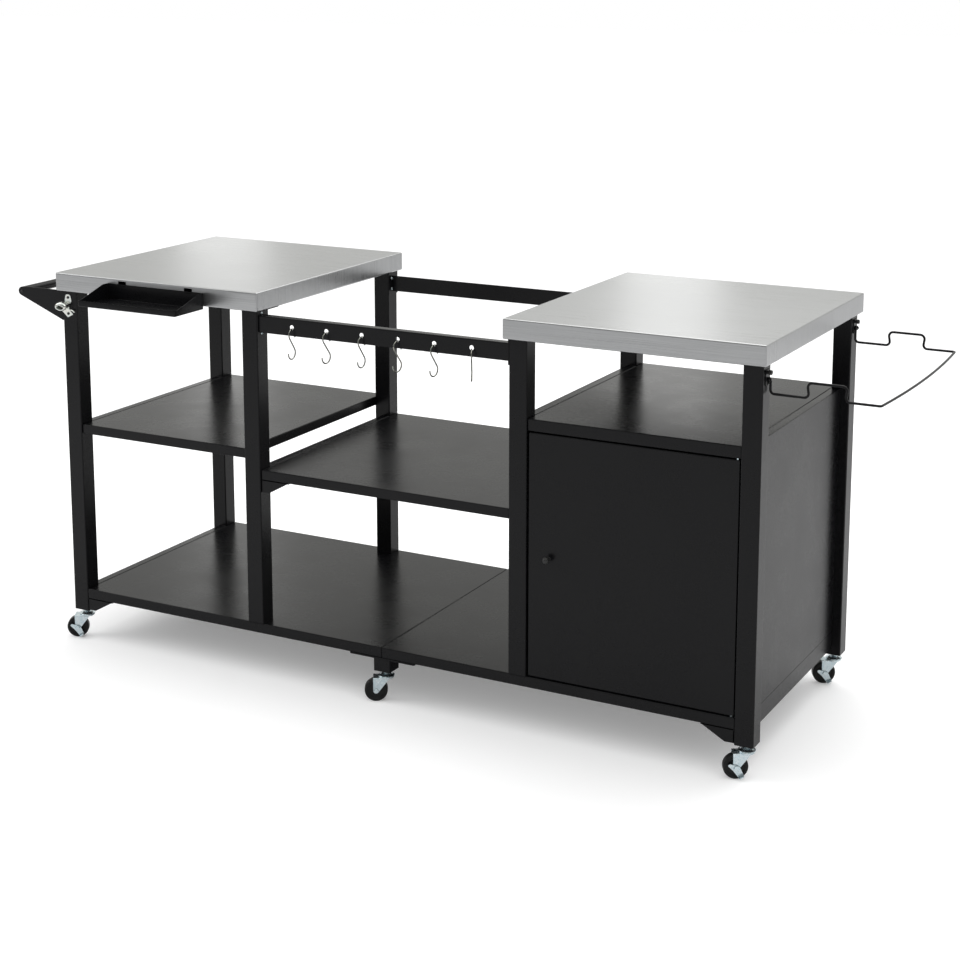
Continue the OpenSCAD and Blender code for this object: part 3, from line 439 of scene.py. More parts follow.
POWDER = PowderCoat("black_powder_coat", Slot.POWDER, (0.0028, 0.0028, 0.0033), 0.28, 0.0, 0.16)
STAINLESS = Brushed("brushed_stainless", Slot.STAINLESS, (0.37, 0.375, 0.38), 0.3, 1.0)
ZINC = Plated("bright_zinc_plate", Slot.ZINC, (0.66, 0.72, 0.74), 0.26, 1.0)
SATIN = Plated("satin_zinc_plate", Slot.ZINC, (0.76, 0.75, 0.70), 0.24, 1.0)
# Nickel's colour is set far darker than bare nickel: painted shade that stands in for the dark surroundings
# the hooks reflect.
NICKEL = Plated("polished_nickel_painted_dark_reflection", Slot.NICKEL, (0.28, 0.27, 0.24), 0.22, 1.0, cloud=90.0)
PLASTIC = Moulded("black_moulded_plastic", Slot.PLASTIC, (0.008, 0.008, 0.008), 0.48)
RUBBER = Moulded("black_wheel_rubber", Slot.RUBBER, (0.004, 0.004, 0.004), 0.36, 0.0, 0.22, grain=500.0)
BLACK_SCREW = PowderCoat("blackened_screw", Slot.ZINC, (0.01, 0.01, 0.011), 0.34, 0.0, 0.5)


@dataclass(frozen=True)
class Layout:
    """Places that several sub-assemblies share, in millimetres.

    Args:
        top_w: Width of a tabletop.
        top_d: Depth of a tabletop.
        top_z: Height of the working surface.
        bridge: Gap between the tabletops.
        top_edge: Height of a tabletop's folded edge.
        leg: Side of the leg tube.
        leg_in_x: Distance from a tabletop's end to the leg.
        leg_in_y: Distance from a tabletop's front edge to the leg.
        plate: Thickness of the plates that are bolted to the legs.
        rail_drop: Distance from the legs' top down to the bay's rails.
        rail_h: Height of the bay's rails.
        bar: Place of the push handle's axis along the cart, and its height.
        screw_x: Place of the screws through the handle's plates along the cart.
        screws_z: Their heights.
        opener_t: Thickness of the bottle opener under them.
        fit: Gap between a shelf's end and the leg.
        seam: Gap between the halves of the base.
        splice: Length and thickness of the plates that join them.
        sheet: Thickness of the tabletops', the shelves' and the cabinet's sheet.
        base_z: Height of the base's surface.
        base_skirt: Height of its skirt.
        left_z: Height of the left shelf.
        middle_z: Height of the middle shelf.
        shelf_skirt: Height of the shelves' skirts.
        cabinet_z: Height of the cabinet's top.
        cabinet_skirt: Height of its skirt.
        origin: The part's origin in the cart's frame.
    """

    top_w: float = 550.0
    top_d: float = 612.0
    top_z: float = 868.0
    bridge: float = 588.0
    top_edge: float = 42.0
    leg: float = 40.0
    leg_in_x: float = 9.0
    leg_in_y: float = 12.0
    plate: float = 2.0
    rail_drop: float = 6.0
    rail_h: float = 37.0
    bar: Point = (-109.0, 814.0)
    screw_x: float = 27.0
    screws_z: Point = (811.0, 774.0)
    opener_t: float = 1.5
    fit: float = 0.3
    seam: float = 0.5
    splice: Point = (160.0, 3.5)
    sheet: float = 1.2
    base_z: float = 124.0
    base_skirt: float = 23.0
    left_z: float = 517.0
    middle_z: float = 474.0
    shelf_skirt: float = 22.0
    cabinet_z: float = 666.0
    cabinet_skirt: float = 25.0
    origin: Triple = (895.25, 255.0, 0.0)

    def legs_x(self) -> list[float]:
        """Returns the left sides of the four rows of legs."""
        far = 2 * self.top_w + self.bridge - self.leg_in_x - self.leg
        return [self.leg_in_x, self.top_w - self.leg_in_x - self.leg,
                self.top_w + self.bridge + self.leg_in_x, far]

    def legs_y(self) -> list[float]:
        """Returns the front sides of the front and back legs."""
        return [self.leg_in_y, self.top_d - self.leg_in_y - self.leg]

    def seam_x(self) -> float:
        """Returns the place of the base's seam."""
        return self.top_w + self.bridge / 2

    def leg_top(self) -> float:
        """Returns the height of the legs' upper ends."""
        return self.top_z - self.top_edge - 4


CART = Layout()


def turn(axis: str, degrees: float) -> Matrix:
    """Returns a rotation about an axis."""
    return Matrix.Rotation(math.radians(degrees), 4, axis)


def shift(x: float = 0.0, y: float = 0.0, z: float = 0.0) -> Matrix:
    """Returns a move."""
    return Matrix.Translation((x, y, z))


def upright(x: float = 0.0, y: float = 0.0, z: float = 0.0) -> Matrix:
    """Returns the frame of an outline that stands along the cart and faces its front."""
    return shift(x, y, z) @ turn("X", 90)


def endways(x: float = 0.0, y: float = 0.0) -> Matrix:
    """Returns the frame of an outline that stands across the cart and faces its right end."""
    return shift(x, y) @ turn("Z", 90) @ turn("X", 90)


def circle(radius: float, steps: int = 40, centre: Point = (0.0, 0.0)) -> list[Point]:
    """Returns points round a circle, anticlockwise."""
    turns = [2 * math.pi * i / steps for i in range(steps)]
    return [(centre[0] + radius * math.cos(a), centre[1] + radius * math.sin(a)) for a in turns]


def arc(centre: Point, radius: float, first: float, last: float, steps: int) -> list[Point]:
    """Lists points along an arc.

    Args:
        centre: The arc's centre.
        radius: The arc's radius.
        first: The angle that it starts at, in degrees.
        last: The angle that it ends at, in degrees.
        steps: Steps from one to the other.

    Returns:
        The points, both ends among them.
    """
    turns = [math.radians(first + (last - first) * i / steps) for i in range(steps + 1)]
    return [(centre[0] + radius * math.cos(a), centre[1] + radius * math.sin(a)) for a in turns]


def round_tip(first: Point, last: Point, centre: Point, radius: float) -> list[Point]:
    """Rounds the tip of an outline, with straight edges that run onto the arc.

    Args:
        first: The corner before the tip.
        last: The corner after it.
        centre: The arc's centre.
        radius: The arc's radius.

    Returns:
        The points from the first corner to the last, anticlockwise.
    """
    angles = []
    for corner, side in ((first, -1), (last, 1)):
        way = Vector(centre) - Vector(corner)
        angle = math.atan2(way.y, way.x) + side * math.asin(radius / way.length)
        reach = math.sqrt(way.length_squared - radius ** 2)
        touch = Vector((math.cos(angle), math.sin(angle))) * reach - way
        angles.append(math.degrees(math.atan2(touch.y, touch.x)))
    if angles[1] < angles[0]:
        angles[1] += 360
    return [first, *arc(centre, radius, *angles, TIP_STEPS), last]


def rounded_rect(low: Point, high: Point, radius: float, steps: int = 5) -> list[Point]:
    """Lists points round a rectangle with round corners.

    Args:
        low: Its low corner.
        high: Its high corner.
        radius: The corners' radius.
        steps: Steps in each corner.

    Returns:
        The points, anticlockwise.
    """
    radius = max(radius, 0.05)
    corners = [(high[0] - radius, low[1] + radius, -90), (high[0] - radius, high[1] - radius, 0),
               (low[0] + radius, high[1] - radius, 90), (low[0] + radius, low[1] + radius, 180)]
    return [point for x, y, start in corners for point in arc((x, y), radius, start, start + 90, steps)]


def filleted(corners: Sequence[Sequence[float]], radii: Sequence[float], steps: int = 8) -> Ring:
    """Rounds the corners of an open path.

    Args:
        corners: The path's corners, in two or three dimensions.
        radii: A bend radius for each corner; the ends' aren't used.
        steps: Steps in each bend.

    Returns:
        The points of the path.
    """
    points = [Vector(c).to_3d() for c in corners]
    path = [points[0]]
    for before, corner, after, radius in zip(points, points[1:], points[2:], radii[1:]):
        into, out = (corner - before).normalized(), (after - corner).normalized()
        angle = into.angle(out)
        if radius <= 0 or angle < 1e-4:
            path.append(corner)
            continue
        reach = radius * math.tan(angle / 2)
        inward = (out - into).normalized()
        centre = corner + inward * (radius / math.cos(angle / 2))
        first, last = corner - into * reach - centre, corner + out * reach - centre
        path += [centre + first.slerp(last, i / steps).normalized() * radius for i in range(steps + 1)]
    return path + [points[-1]]


class Shape:
    """A mesh under construction, in the cart's frame."""

    def __init__(self) -> None:
        """Starts an empty mesh."""
        self.mesh = bmesh.new()

    def skin(self, rings: Sequence[Sequence], frame: Matrix | None = None,
             ends: Ends = Ends.FILLED) -> "Shape":
        """Joins rings of equal length with four-sided faces.

        Args:
            rings: The rings of points.
            frame: Where the rings' own frame lies.
            ends: How the ends are closed.

        Returns:
            This shape.
        """
        frame = frame or Matrix()
        rows = [[self.mesh.verts.new(frame @ Vector(p)) for p in ring] for ring in rings]
        following = rows[1:] + (rows[:1] if ends is Ends.JOINED else [])
        for a, b in zip(rows, following):
            for i in range(len(a)):
                j = (i + 1) % len(a)
                self.mesh.faces.new((a[i], a[j], b[j], b[i]))
        if ends is not Ends.JOINED:
            self.mesh.faces.new(rows[0][::-1])
        if ends is Ends.FILLED:
            self.mesh.faces.new(rows[-1])
        return self

    def nut(self, radius: float, low: float, high: float, frame: Matrix, edge: float) -> "Shape":
        """Adds a hexagonal nut with broken edges.

        Args:
            radius: Its radius over the corners.
            low: Its lower height.
            high: Its upper height.
            frame: Where it lies.
            edge: How much its edges are broken.

        Returns:
            This shape.
        """
        levels = ((radius - edge, low), (radius, low + edge), (radius, high - edge), (radius - edge, high))
        return self.lathe(levels, frame, 6)

    def lathe(self, profile: Sequence[Point], frame: Matrix, steps: int, ends: Ends = Ends.FILLED) -> "Shape":
        """Turns a profile about its own z axis.

        Args:
            profile: Radii and heights.
            frame: Where it lies.
            steps: Steps round the turn.
            ends: How its ends are closed.

        Returns:
            This shape.
        """
        rings = [[(x, y, z) for x, y in circle(max(r, SMALLEST_R), steps)] for r, z in profile]
        return self.skin(rings, frame, ends)

    def tube(self, path: Sequence[Vector], radius: float, sides: int) -> "Shape":
        """Sweeps a round wire with ball ends along a path.

        Args:
            path: The wire's centre line.
            radius: The wire's radius.
            sides: Sides round the wire.

        Returns:
            This shape.
        """
        ways = [(b - a).normalized() for a, b in zip(path, path[1:])]
        ways = [ways[0]] + [(a + b).normalized() for a, b in zip(ways, ways[1:])] + [ways[-1]]
        side = ways[0].orthogonal().normalized()
        stations = []
        for point, way in zip(path, ways):
            side = (side - way * side.dot(way)).normalized()
            stations.append((point, way, side.copy(), radius))
        for end, sign in ((0, 1), (-1, -1)):
            point, way, across, _ = stations[end]
            ball = [(point + way * sign * radius * (1 - math.cos(math.radians(a))), way, across,
                     radius * math.sin(math.radians(a))) for a in (12, 30, 52, 74)]
            stations = ball + stations[1:] if sign > 0 else stations[:-1] + ball[::-1]
        rings = []
        for point, way, across, r in stations:
            up = way.cross(across)
            rings.append([point + (across * math.cos(a) + up * math.sin(a)) * r
                          for a in (2 * math.pi * i / sides for i in range(sides))])
        return self.skin(rings)

    def pan(self, low: Point, high: Point, top: float, skirt: float, lip: float, fold: float = 2.2,
            frame: Matrix | None = None) -> "Shape":
        """Adds the outer skin of a folded sheet tray that lies upside down; its object is thickened inwards.

        Args:
            low: Low corner of its outline.
            high: High corner of its outline.
            top: Height of its surface.
            skirt: Height of its skirt.
            lip: Width of the lip under the skirt.
            fold: Outside radius of its folds.
            frame: Where it lies.

        Returns:
            This shape.
        """
        line = arc((fold, top - fold), fold, 90, 180, 4) + arc((fold, top - skirt + fold), fold, 180, 270, 4)
        line.append((lip, top - skirt))
        rings = []
        for inset, z in line:
            corner = rounded_rect((low[0] + inset, low[1] + inset), (high[0] - inset, high[1] - inset),
                                  max(fold - inset, 0.08), 4)
            rings.append([(x, y, z) for x, y in reversed(corner)])
        return self.skin(rings, frame, Ends.FIRST)

    def plate(self, outline: Sequence[Point] | Ring, thickness: float, frame: Matrix,
              holes: Iterable[Triple] = (), edge: float = 0.3) -> "Shape":
        """Adds a flat plate of any outline, with round holes and broken edges.

        Args:
            outline: The plate's outline in its own x and y; a third coordinate is left out.
            thickness: Its thickness, upwards along its own z from 0.
            frame: Where it lies.
            holes: Centres and radii of its holes.
            edge: How much its edges are broken.

        Returns:
            This shape.
        """
        curve = bpy.data.curves.new("outline", "CURVE")
        curve.dimensions = "2D"
        curve.fill_mode = "BOTH"
        curve.extrude = thickness / 2 - edge
        curve.bevel_depth = edge
        curve.bevel_resolution = 1
        curve.offset = -edge
        for line in [list(outline)] + [circle(r, 28, (x, y)) for x, y, r in holes]:
            spline = curve.splines.new("POLY")
            spline.points.add(len(line) - 1)
            for point, corner in zip(spline.points, line):
                point.co = (*corner[:2], 0, 1)
            spline.use_cyclic_u = True
        holder = bpy.data.objects.new("outline", curve)
        bpy.context.scene.collection.objects.link(holder)
        bpy.context.view_layer.update()
        made = bpy.data.meshes.new_from_object(holder.evaluated_get(bpy.context.evaluated_depsgraph_get()))
        made.transform(frame @ shift(0, 0, thickness / 2))
        self.mesh.from_mesh(made)
        bpy.data.objects.remove(holder)
        bpy.data.curves.remove(curve)
        bpy.data.meshes.remove(made)
        return self

    def object(self, name: str, finish: Finish, body: str, nodes: Iterable[str] = (), thick: float = 0.0,
               smooth: float = 35.0, outward: bool = True) -> bpy.types.Object:
        """Finishes the shape as a piece of the cart.

        Args:
            name: The piece's name.
            finish: Its finish.
            body: The body that it rides on.
            nodes: The CAD nodes that it stands for.
            thick: Thickness of the sheet, for a skin that is thickened inwards.
            smooth: Edges that turn by more than this stay sharp, in degrees.
            outward: Whether the faces are turned outwards.

        Returns:
            The piece.
        """
        if outward:
            bmesh.ops.remove_doubles(self.mesh, verts=self.mesh.verts, dist=DOUBLES)
            bmesh.ops.recalc_face_normals(self.mesh, faces=self.mesh.faces)
        made = bpy.data.meshes.new(name)
        self.mesh.transform(Matrix.Scale(MM, 4) @ Matrix.Translation(-Vector(CART.origin)))
        self.mesh.to_mesh(made)
        self.mesh.free()
        made.shade_smooth()
        made.set_sharp_from_angle(angle=math.radians(smooth))
        made.materials.append(finish.material())
        piece = bpy.data.objects.new(name, made)
        bpy.context.scene.collection.objects.link(piece)
        if thick:
            solid = piece.modifiers.new("sheet", "SOLIDIFY")
            solid.thickness = thick * MM
            solid.offset = -1
            solid.use_even_offset = True
        weighted = piece.modifiers.new("shading", "WEIGHTED_NORMAL")
        weighted.keep_sharp = True
        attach(piece, body)
        nodes = list(nodes)
        if nodes:
            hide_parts(*nodes)
        LOG.info("%s: %d faces on %s for %s", name, len(made.polygons), body, ", ".join(nodes) or "itself")
        return piece


def dress(frame: dict, finish: Finish, nodes: Iterable[str]) -> None:
    """Gives CAD nodes that stay as they are their finish.

    Args:
        finish: The finish.
        nodes: The nodes' names.
    """
    for name in nodes:
        node = frame["nodes"][name]
        for place in node.material_slots:
            place.material = finish.material()
        LOG.info("%s: kept, in %s", name, finish.name)


@dataclass
class Screws:
    """Button-headed screws with a washer, all over the frame.

    Args:
        head_r: Radius of a head.
        head_h: Height of a head.
        washer_r: Radius of the washer.
        socket: Distance across the flats of the hexagon socket.
        steps: Steps round a head.
        rail_front: Place of the front rail's screws behind the leg's face, and inside the rail's edges.
        rail_back: The same for the back rail.
        seam_shares: Places of the screws through the seam, as shares of the cart's depth.
        splice_x: Distances of the splice's screws from the seam.
        splice_in: Distance of the splice's screws from the plates' outer edges.
        splice_size: How much larger they are than the others.
        top_in: Distance of a top plate's screw from its leg.
    """

    head_r: float = 3.2
    head_h: float = 2.2
    washer_r: float = 3.2
    socket: float = 2.6
    steps: int = 24
    rail_front: Point = (14.7, -3.7)
    rail_back: Point = (12.0, 6.0)
    seam_shares: Point = (0.35, 0.65)
    splice_x: Point = (42.0, 72.0)
    splice_in: float = 12.0
    splice_size: float = 1.4
    top_in: float = 28.0

    def bright(self) -> list[Site]:
        """Lists the screws through the end plates of the bay's rails.

        Returns:
            For each screw, the point under its head and the way that its head faces.
        """
        xs, ys = CART.legs_x(), CART.legs_y()
        top = CART.leg_top() - CART.rail_drop
        sites = []
        for y, (behind, inside) in zip(ys, (self.rail_front, self.rail_back)):
            for z in (top - inside, top - CART.rail_h + inside):
                sites += [((xs[1] + CART.leg + CART.plate, y + behind, z), turn("Y", 90)),
                          ((xs[2] - CART.plate, y + behind, z), turn("Y", -90))]
        return sites

    def black(self) -> list[Site]:
        """Lists all the other screws of the frame.

        Returns:
            For each screw, the point under its head and the way that its head faces.
        """
        xs, ys, leg = CART.legs_x(), CART.legs_y(), CART.leg
        right, left, down = turn("Y", 90), turn("Y", -90), turn("X", 180)
        wall, base_mid = CART.fit + CART.sheet, CART.base_z - CART.base_skirt / 2
        spans = [(xs[0] + leg, xs[1], CART.left_z - CART.shelf_skirt / 2),
                 (xs[1] + leg, xs[2], CART.middle_z - CART.shelf_skirt / 2),
                 (xs[2] + leg, xs[3], CART.cabinet_z - CART.cabinet_skirt / 2),
                 (xs[0] + leg, xs[3], base_mid)]
        sites = []
        for x0, x1, z in spans:
            for y in ys:
                sites += [((x0 + wall, y + leg / 2, z), right), ((x1 - wall, y + leg / 2, z), left)]
        seam_face = CART.seam_x() - CART.seam / 2 - CART.sheet
        sites += [((seam_face, CART.top_d * share, base_mid), left) for share in self.seam_shares]
        splice_z = CART.base_z - CART.base_skirt - CART.splice[1]
        large = down @ Matrix.Scale(self.splice_size, 4)
        for y in (ys[0] + self.splice_in, ys[1] + leg - self.splice_in):
            sites += [((CART.seam_x() + side * x, y, splice_z), large)
                      for side in (-1, 1) for x in self.splice_x]
        for x in xs:
            for y in (ys[0] + leg + self.top_in, ys[1] - self.top_in):
                sites.append(((x + leg / 2, y, CART.leg_top()), down))
        plates = [(CART.screw_x, CART.opener_t, z) for z in CART.screws_z] + [(CART.bar[0], 0, CART.bar[1])]
        for x, out, z in plates:
            sites += [((x, ys[0] - CART.plate - out, z), turn("X", 90)),
                      ((x, ys[1] + leg + CART.plate, z), turn("X", -90))]
        return sites

    def add(self, shape: Shape, point: Triple, way: Matrix) -> None:
        """Adds one screw's head and washer.

        Args:
            shape: The shape that it joins.
            point: The point under its head.
            way: The way that its head faces.
        """
        r, h, w = self.head_r, self.head_h, self.washer_r
        outer = [(w, 0.0), (w, 0.35), (r * 0.95, 0.5), (r * 0.97, h * 0.45), (r * 0.9, h * 0.68),
                 (r * 0.74, h * 0.88), (r * 0.56, h * 0.985), (r * 0.5, h)]
        rings = [[(x, y, z) for x, y in circle(rad, self.steps)] for rad, z in outer]
        for depth in (0.12, h * 0.5):
            ring = []
            for i in range(self.steps):
                a = 360 * i / self.steps
                flat = self.socket / 2 / math.cos(math.radians((a + 30) % 60 - 30))
                ring.append((flat * math.cos(math.radians(a)), flat * math.sin(math.radians(a)), h - depth))
            rings.append(ring)
        shape.skin(rings, shift(*point) @ way)

    def build(self) -> None:
        """Builds the bright screws of the rails and the black ones of everything else."""
        for name, finish, sites, nodes in (("bright", ZINC, self.bright(), ["frame_bolts"]),
                                           ("black", BLACK_SCREW, self.black(), [])):
            shape = Shape()
            for point, way in sites:
                self.add(shape, point, way)
            shape.object(f"{name}_screws", finish, "frame", nodes)


@dataclass
class Tops:
    """The two folded stainless tabletops; the left one has two slots for the tray's tabs.

    Args:
        lip: Width of the lip under the edge.
        fold: Outside radius of the folds.
        slots_x: Centres of the slots along the cart.
        slot_w: Width of a slot.
        slot_low: Height of a slot's lower end.
        slot_h: Height of a slot.
    """

    lip: float = 10.0
    fold: float = 3.0
    slots_x: tuple[float, float] = (190.0, 370.0)
    slot_w: float = 22.0
    slot_low: float = 851.5
    slot_h: float = 11.0

    def front_faces(self, shape: Shape) -> list[bmesh.types.BMFace]:
        """Returns the faces of the front of the skirt."""
        return [face for face in shape.mesh.faces if all(abs(corner.co.y) < NEAR for corner in face.verts)]

    def slot(self, shape: Shape, centre: float) -> None:
        """Cuts a slot through the front of the skirt.

        Args:
            shape: The tabletop.
            centre: The slot's centre along the cart.
        """
        x0, x1 = centre - self.slot_w / 2, centre + self.slot_w / 2
        z0, z1 = self.slot_low, self.slot_low + self.slot_h
        across, level = Vector((1, 0, 0)), Vector((0, 0, 1))
        for normal, place in ((across, x0), (across, x1), (level, z0), (level, z1)):
            faces = self.front_faces(shape)
            edges = {edge for face in faces for edge in face.edges}
            corners = {corner for face in faces for corner in face.verts}
            bmesh.ops.bisect_plane(shape.mesh, geom=[*faces, *edges, *corners],
                                   plane_co=normal * place, plane_no=normal)
        middles = [(face, face.calc_center_median()) for face in self.front_faces(shape)]
        inside = [face for face, at in middles if x0 < at.x < x1 and z0 < at.z < z1]
        bmesh.ops.delete(shape.mesh, geom=inside, context="FACES")

    def build(self) -> None:
        """Builds both tabletops."""
        for name, x in (("left", 0.0), ("right", CART.top_w + CART.bridge)):
            far = (x + CART.top_w, CART.top_d)
            shape = Shape().pan((x, 0.0), far, CART.top_z, CART.top_edge, self.lip, self.fold)
            if name == "left":
                for centre in self.slots_x:
                    self.slot(shape, centre)
            shape.object(f"folded_top_{name}", STAINLESS, "frame", [f"top_{name}"], thick=CART.sheet)


@dataclass
class Shelves:
    """The folded shelves, the base and its splice, and the tubes and brackets that carry them.

    Args:
        set_back: Set-back of the shelves' skirts from the legs' faces.
        base_set: Set-back of the base's skirt.
        back_set: Set-back of the middle shelf's rear skirt.
        lip: Width of the lip under a skirt.
        rail_w: Width of the tube rails.
        rail_h: Height of the rails beside the shelves.
        base_rail_h: Height of the rails beside the base.
        rail_r: Radius of the tubes' corners.
        bead: Radius, ripple and pitch of a weld bead.
        gusset: Length, foot and height of a corner bracket.
        gusset_flange: Widths of the bracket's flanges against the leg and under the sheet.
        gusset_in: Distance of a bracket behind the skirt.
        middle_gap: Gap between the middle shelf and the cabinet.
    """

    set_back: float = 4.0
    base_set: float = 0.5
    back_set: float = 8.0
    lip: float = 14.0
    rail_w: float = 20.0
    rail_h: float = 20.0
    base_rail_h: float = 40.0
    rail_r: float = 1.8
    bead: Triple = (0.85, 0.12, 1.1)
    gusset_flange: Point = (26.0, 13.0)
    gusset_in: float = 0.4
    middle_gap: float = 0.9
    gusset: Triple = (70.0, 20.0, 28.0)

    def trays(self) -> dict[str, tuple[Point, Point, float, float]]:
        """Lists the folded trays.

        Returns:
            For each node, the low and high corner, the surface's height and the skirt's height.
        """
        y0, y1 = CART.legs_y()[0], CART.legs_y()[1] + CART.leg
        starts = [x + CART.leg + CART.fit for x in CART.legs_x()]
        ends = [x - CART.fit for x in CART.legs_x()]
        middle_end = CART.legs_x()[2] - self.middle_gap
        seam, half = CART.seam_x(), CART.seam / 2
        near, far = y0 + self.set_back, y1 - self.set_back
        middle_far = y1 - self.back_set
        low, high = y0 + self.base_set, y1 - self.base_set
        base = (CART.base_z, CART.base_skirt)
        return {
            "shelf_left": ((starts[0], near), (ends[1], far), CART.left_z, CART.shelf_skirt),
            "shelf_middle": ((starts[1], near), (middle_end, middle_far), CART.middle_z, CART.shelf_skirt),
            "cabinet_top": ((starts[2], near), (ends[3], far), CART.cabinet_z, CART.cabinet_skirt),
            "base_left": ((starts[0], low), (seam - half, high), *base),
            "base_right": ((seam + half, low), (ends[3], high), *base),
        }

    def rails(self) -> None:
        """Builds the rounded tube rails with the weld beads at their ends."""
        xs, leg = CART.legs_x(), CART.leg
        y0, y1 = CART.legs_y()[0] + leg, CART.legs_y()[1]
        inside, narrow = leg - self.rail_w, self.rail_w - CART.sheet
        tubes = [(xs[0] + inside, self.rail_w, CART.base_z, self.base_rail_h),
                 (xs[0] + inside, self.rail_w, CART.left_z, self.rail_h),
                 (xs[1] + inside, self.rail_w, CART.middle_z, self.rail_h),
                 (xs[2] + inside + CART.sheet, narrow, CART.cabinet_z, self.rail_h),
                 (xs[3], narrow, CART.cabinet_z, self.rail_h),
                 (xs[3], self.rail_w, CART.base_z, self.base_rail_h)]
        shape = Shape()
        for x, w, top, h in tubes:
            line = rounded_rect((x, top - h), (x + w, top), self.rail_r, 4)
            shape.skin([[(px, y, pz) for px, pz in line] for y in (y0, y1)])
            for y, way in ((y0, 1), (y1, -1)):
                self.weld(shape, [(x + 2, y, top), (x + w - 2, y, top)], way)
        shape.object("side_rail_tubes", POWDER, "frame", ["side_rails"])

    def weld(self, shape: Shape, ends: list[Triple], way: int) -> None:
        """Adds a rippled weld bead along a joint.

        Args:
            shape: The shape that it joins.
            ends: The bead's ends.
            way: Which side of the joint it lies on, along y.
        """
        a, b = Vector(ends[0]), Vector(ends[1])
        radius, ripple, pitch = self.bead
        count = max(6, int((b - a).length / pitch))
        rings = []
        for i in range(count + 1):
            point = a.lerp(b, i / count) + Vector((0, way * 0.2, -0.35))
            r = (radius + ripple * (i % 2)) * (0.55 if i in (0, count) else 1)
            rings.append([(point.x, y, z) for y, z in circle(r, 8, (point.y, point.z))])
        shape.skin(rings)

    def brackets(self) -> None:
        """Builds the bent corner brackets."""
        width, foot, height = self.gusset
        t, (side, upper) = CART.plate, self.gusset_flange
        line = filleted([(0, -height), (foot, -height), (width, 0), (0, 0)], [0, 5, 0, 0], 5)
        shape = Shape()
        z = CART.base_z - CART.base_skirt
        web = CART.legs_y()[0] + self.base_set + self.gusset_in
        xs, leg, depth = CART.legs_x(), CART.leg, CART.top_d
        shelf_z = CART.middle_z - CART.shelf_skirt
        back = depth - CART.leg_in_y - self.back_set - self.gusset_in
        places = [(xs[0] + leg + CART.fit, web, z, 1, 1), (xs[3] - CART.fit, web, z, -1, 1),
                  (xs[0] + leg + CART.fit, depth - web, z, 1, -1), (xs[3] - CART.fit, depth - web, z, -1, -1),
                  (xs[1] + leg + CART.fit, CART.legs_y()[0] + self.set_back + self.gusset_in, shelf_z, 1, 1),
                  (xs[1] + leg + CART.fit, back, shelf_z, 1, -1)]
        for x, y, top, sx, sy in places:
            frame = shift(x, y, top) @ Matrix.Diagonal((sx, sy, 1, 1))
            shape.plate(line, t, frame @ upright(y=t))
            shape.plate(rounded_rect((0, -height), (side, -CART.fit), 2), t, frame @ endways())
            shape.plate(rounded_rect((0, 0), (width, upper), 2), t, frame @ shift(z=-t))
        shape.object("corner_bracket_plates", POWDER, "frame", ["corner_brackets"])

    def splice(self) -> None:
        """Builds the plates that join the halves of the base, with round corners."""
        length, thick = CART.splice
        shape = Shape()
        for y in CART.legs_y():
            start, end = CART.seam_x() - length / 2, CART.seam_x() + length / 2
            line = rounded_rect((start, y), (end, y + CART.leg), 3, 5)
            shape.plate(line, thick, shift(z=CART.base_z - CART.base_skirt - thick), edge=0.5)
        shape.object("splice_bars", POWDER, "frame", ["splice_plates"])

    def build(self) -> None:
        """Builds every shelf and what carries it."""
        for node, (low, high, top, skirt) in self.trays().items():
            shape = Shape().pan(low, high, top, skirt, self.lip)
            shape.object(f"{node}_sheet", POWDER, "frame", [node], thick=CART.sheet, outward=False)
        self.rails()
        self.brackets()
        self.splice()


@dataclass
class Cabinet:
    """The cabinet's folded door with its knob.

    Args:
        gap: Gap between the door and the legs.
        low: Height of the door's lower edge.
        high: Height of its upper edge.
        front: Place of its face.
        depth: Its depth.
        lip: Width of the lip behind it.
        fold: Outside radius of its folds.
        knob_in: Distance of the knob from its free edge.
    """

    gap: float = 3.0
    low: float = 126.0
    high: float = 638.0
    front: float = 16.0
    depth: float = 18.0
    lip: float = 12.0
    fold: float = 1.8
    knob_in: float = 46.0

    def door(self) -> None:
        """Builds the folded door; its tray lies on its back, facing the front."""
        xs = CART.legs_x()
        x0, x1 = xs[2] + CART.leg + self.gap, xs[3] - self.gap
        low, high, frame = (x0, self.low), (x1, self.high), upright(y=self.front)
        shape = Shape().pan(low, high, 0.0, self.depth, self.lip, self.fold, frame)
        shape.object("door_sheet", POWDER, "door", ["door"], thick=CART.sheet, outward=False)

    def knob(self) -> None:
        """Builds the turned knob."""
        profile = [(4.6, 0), (4.6, 0.8), (3.9, 1.6), (3.6, 4.5), (4.0, 6.4), (5.6, 8.0), (7.0, 10.0),
                   (7.45, 12.2), (7.2, 14.6), (6.2, 16.8), (4.4, 18.6), (2.2, 19.6), (0.0, 19.9)]
        x = CART.legs_x()[2] + CART.leg + self.gap + self.knob_in
        frame = upright(x, self.front, (self.low + self.high) / 2)
        Shape().lathe(profile, frame, 36).object("turned_knob", PLASTIC, "door", ["door_knob"], smooth=50)

    def build(self) -> None:
        """Builds the door and its knob."""
        self.door()
        self.knob()


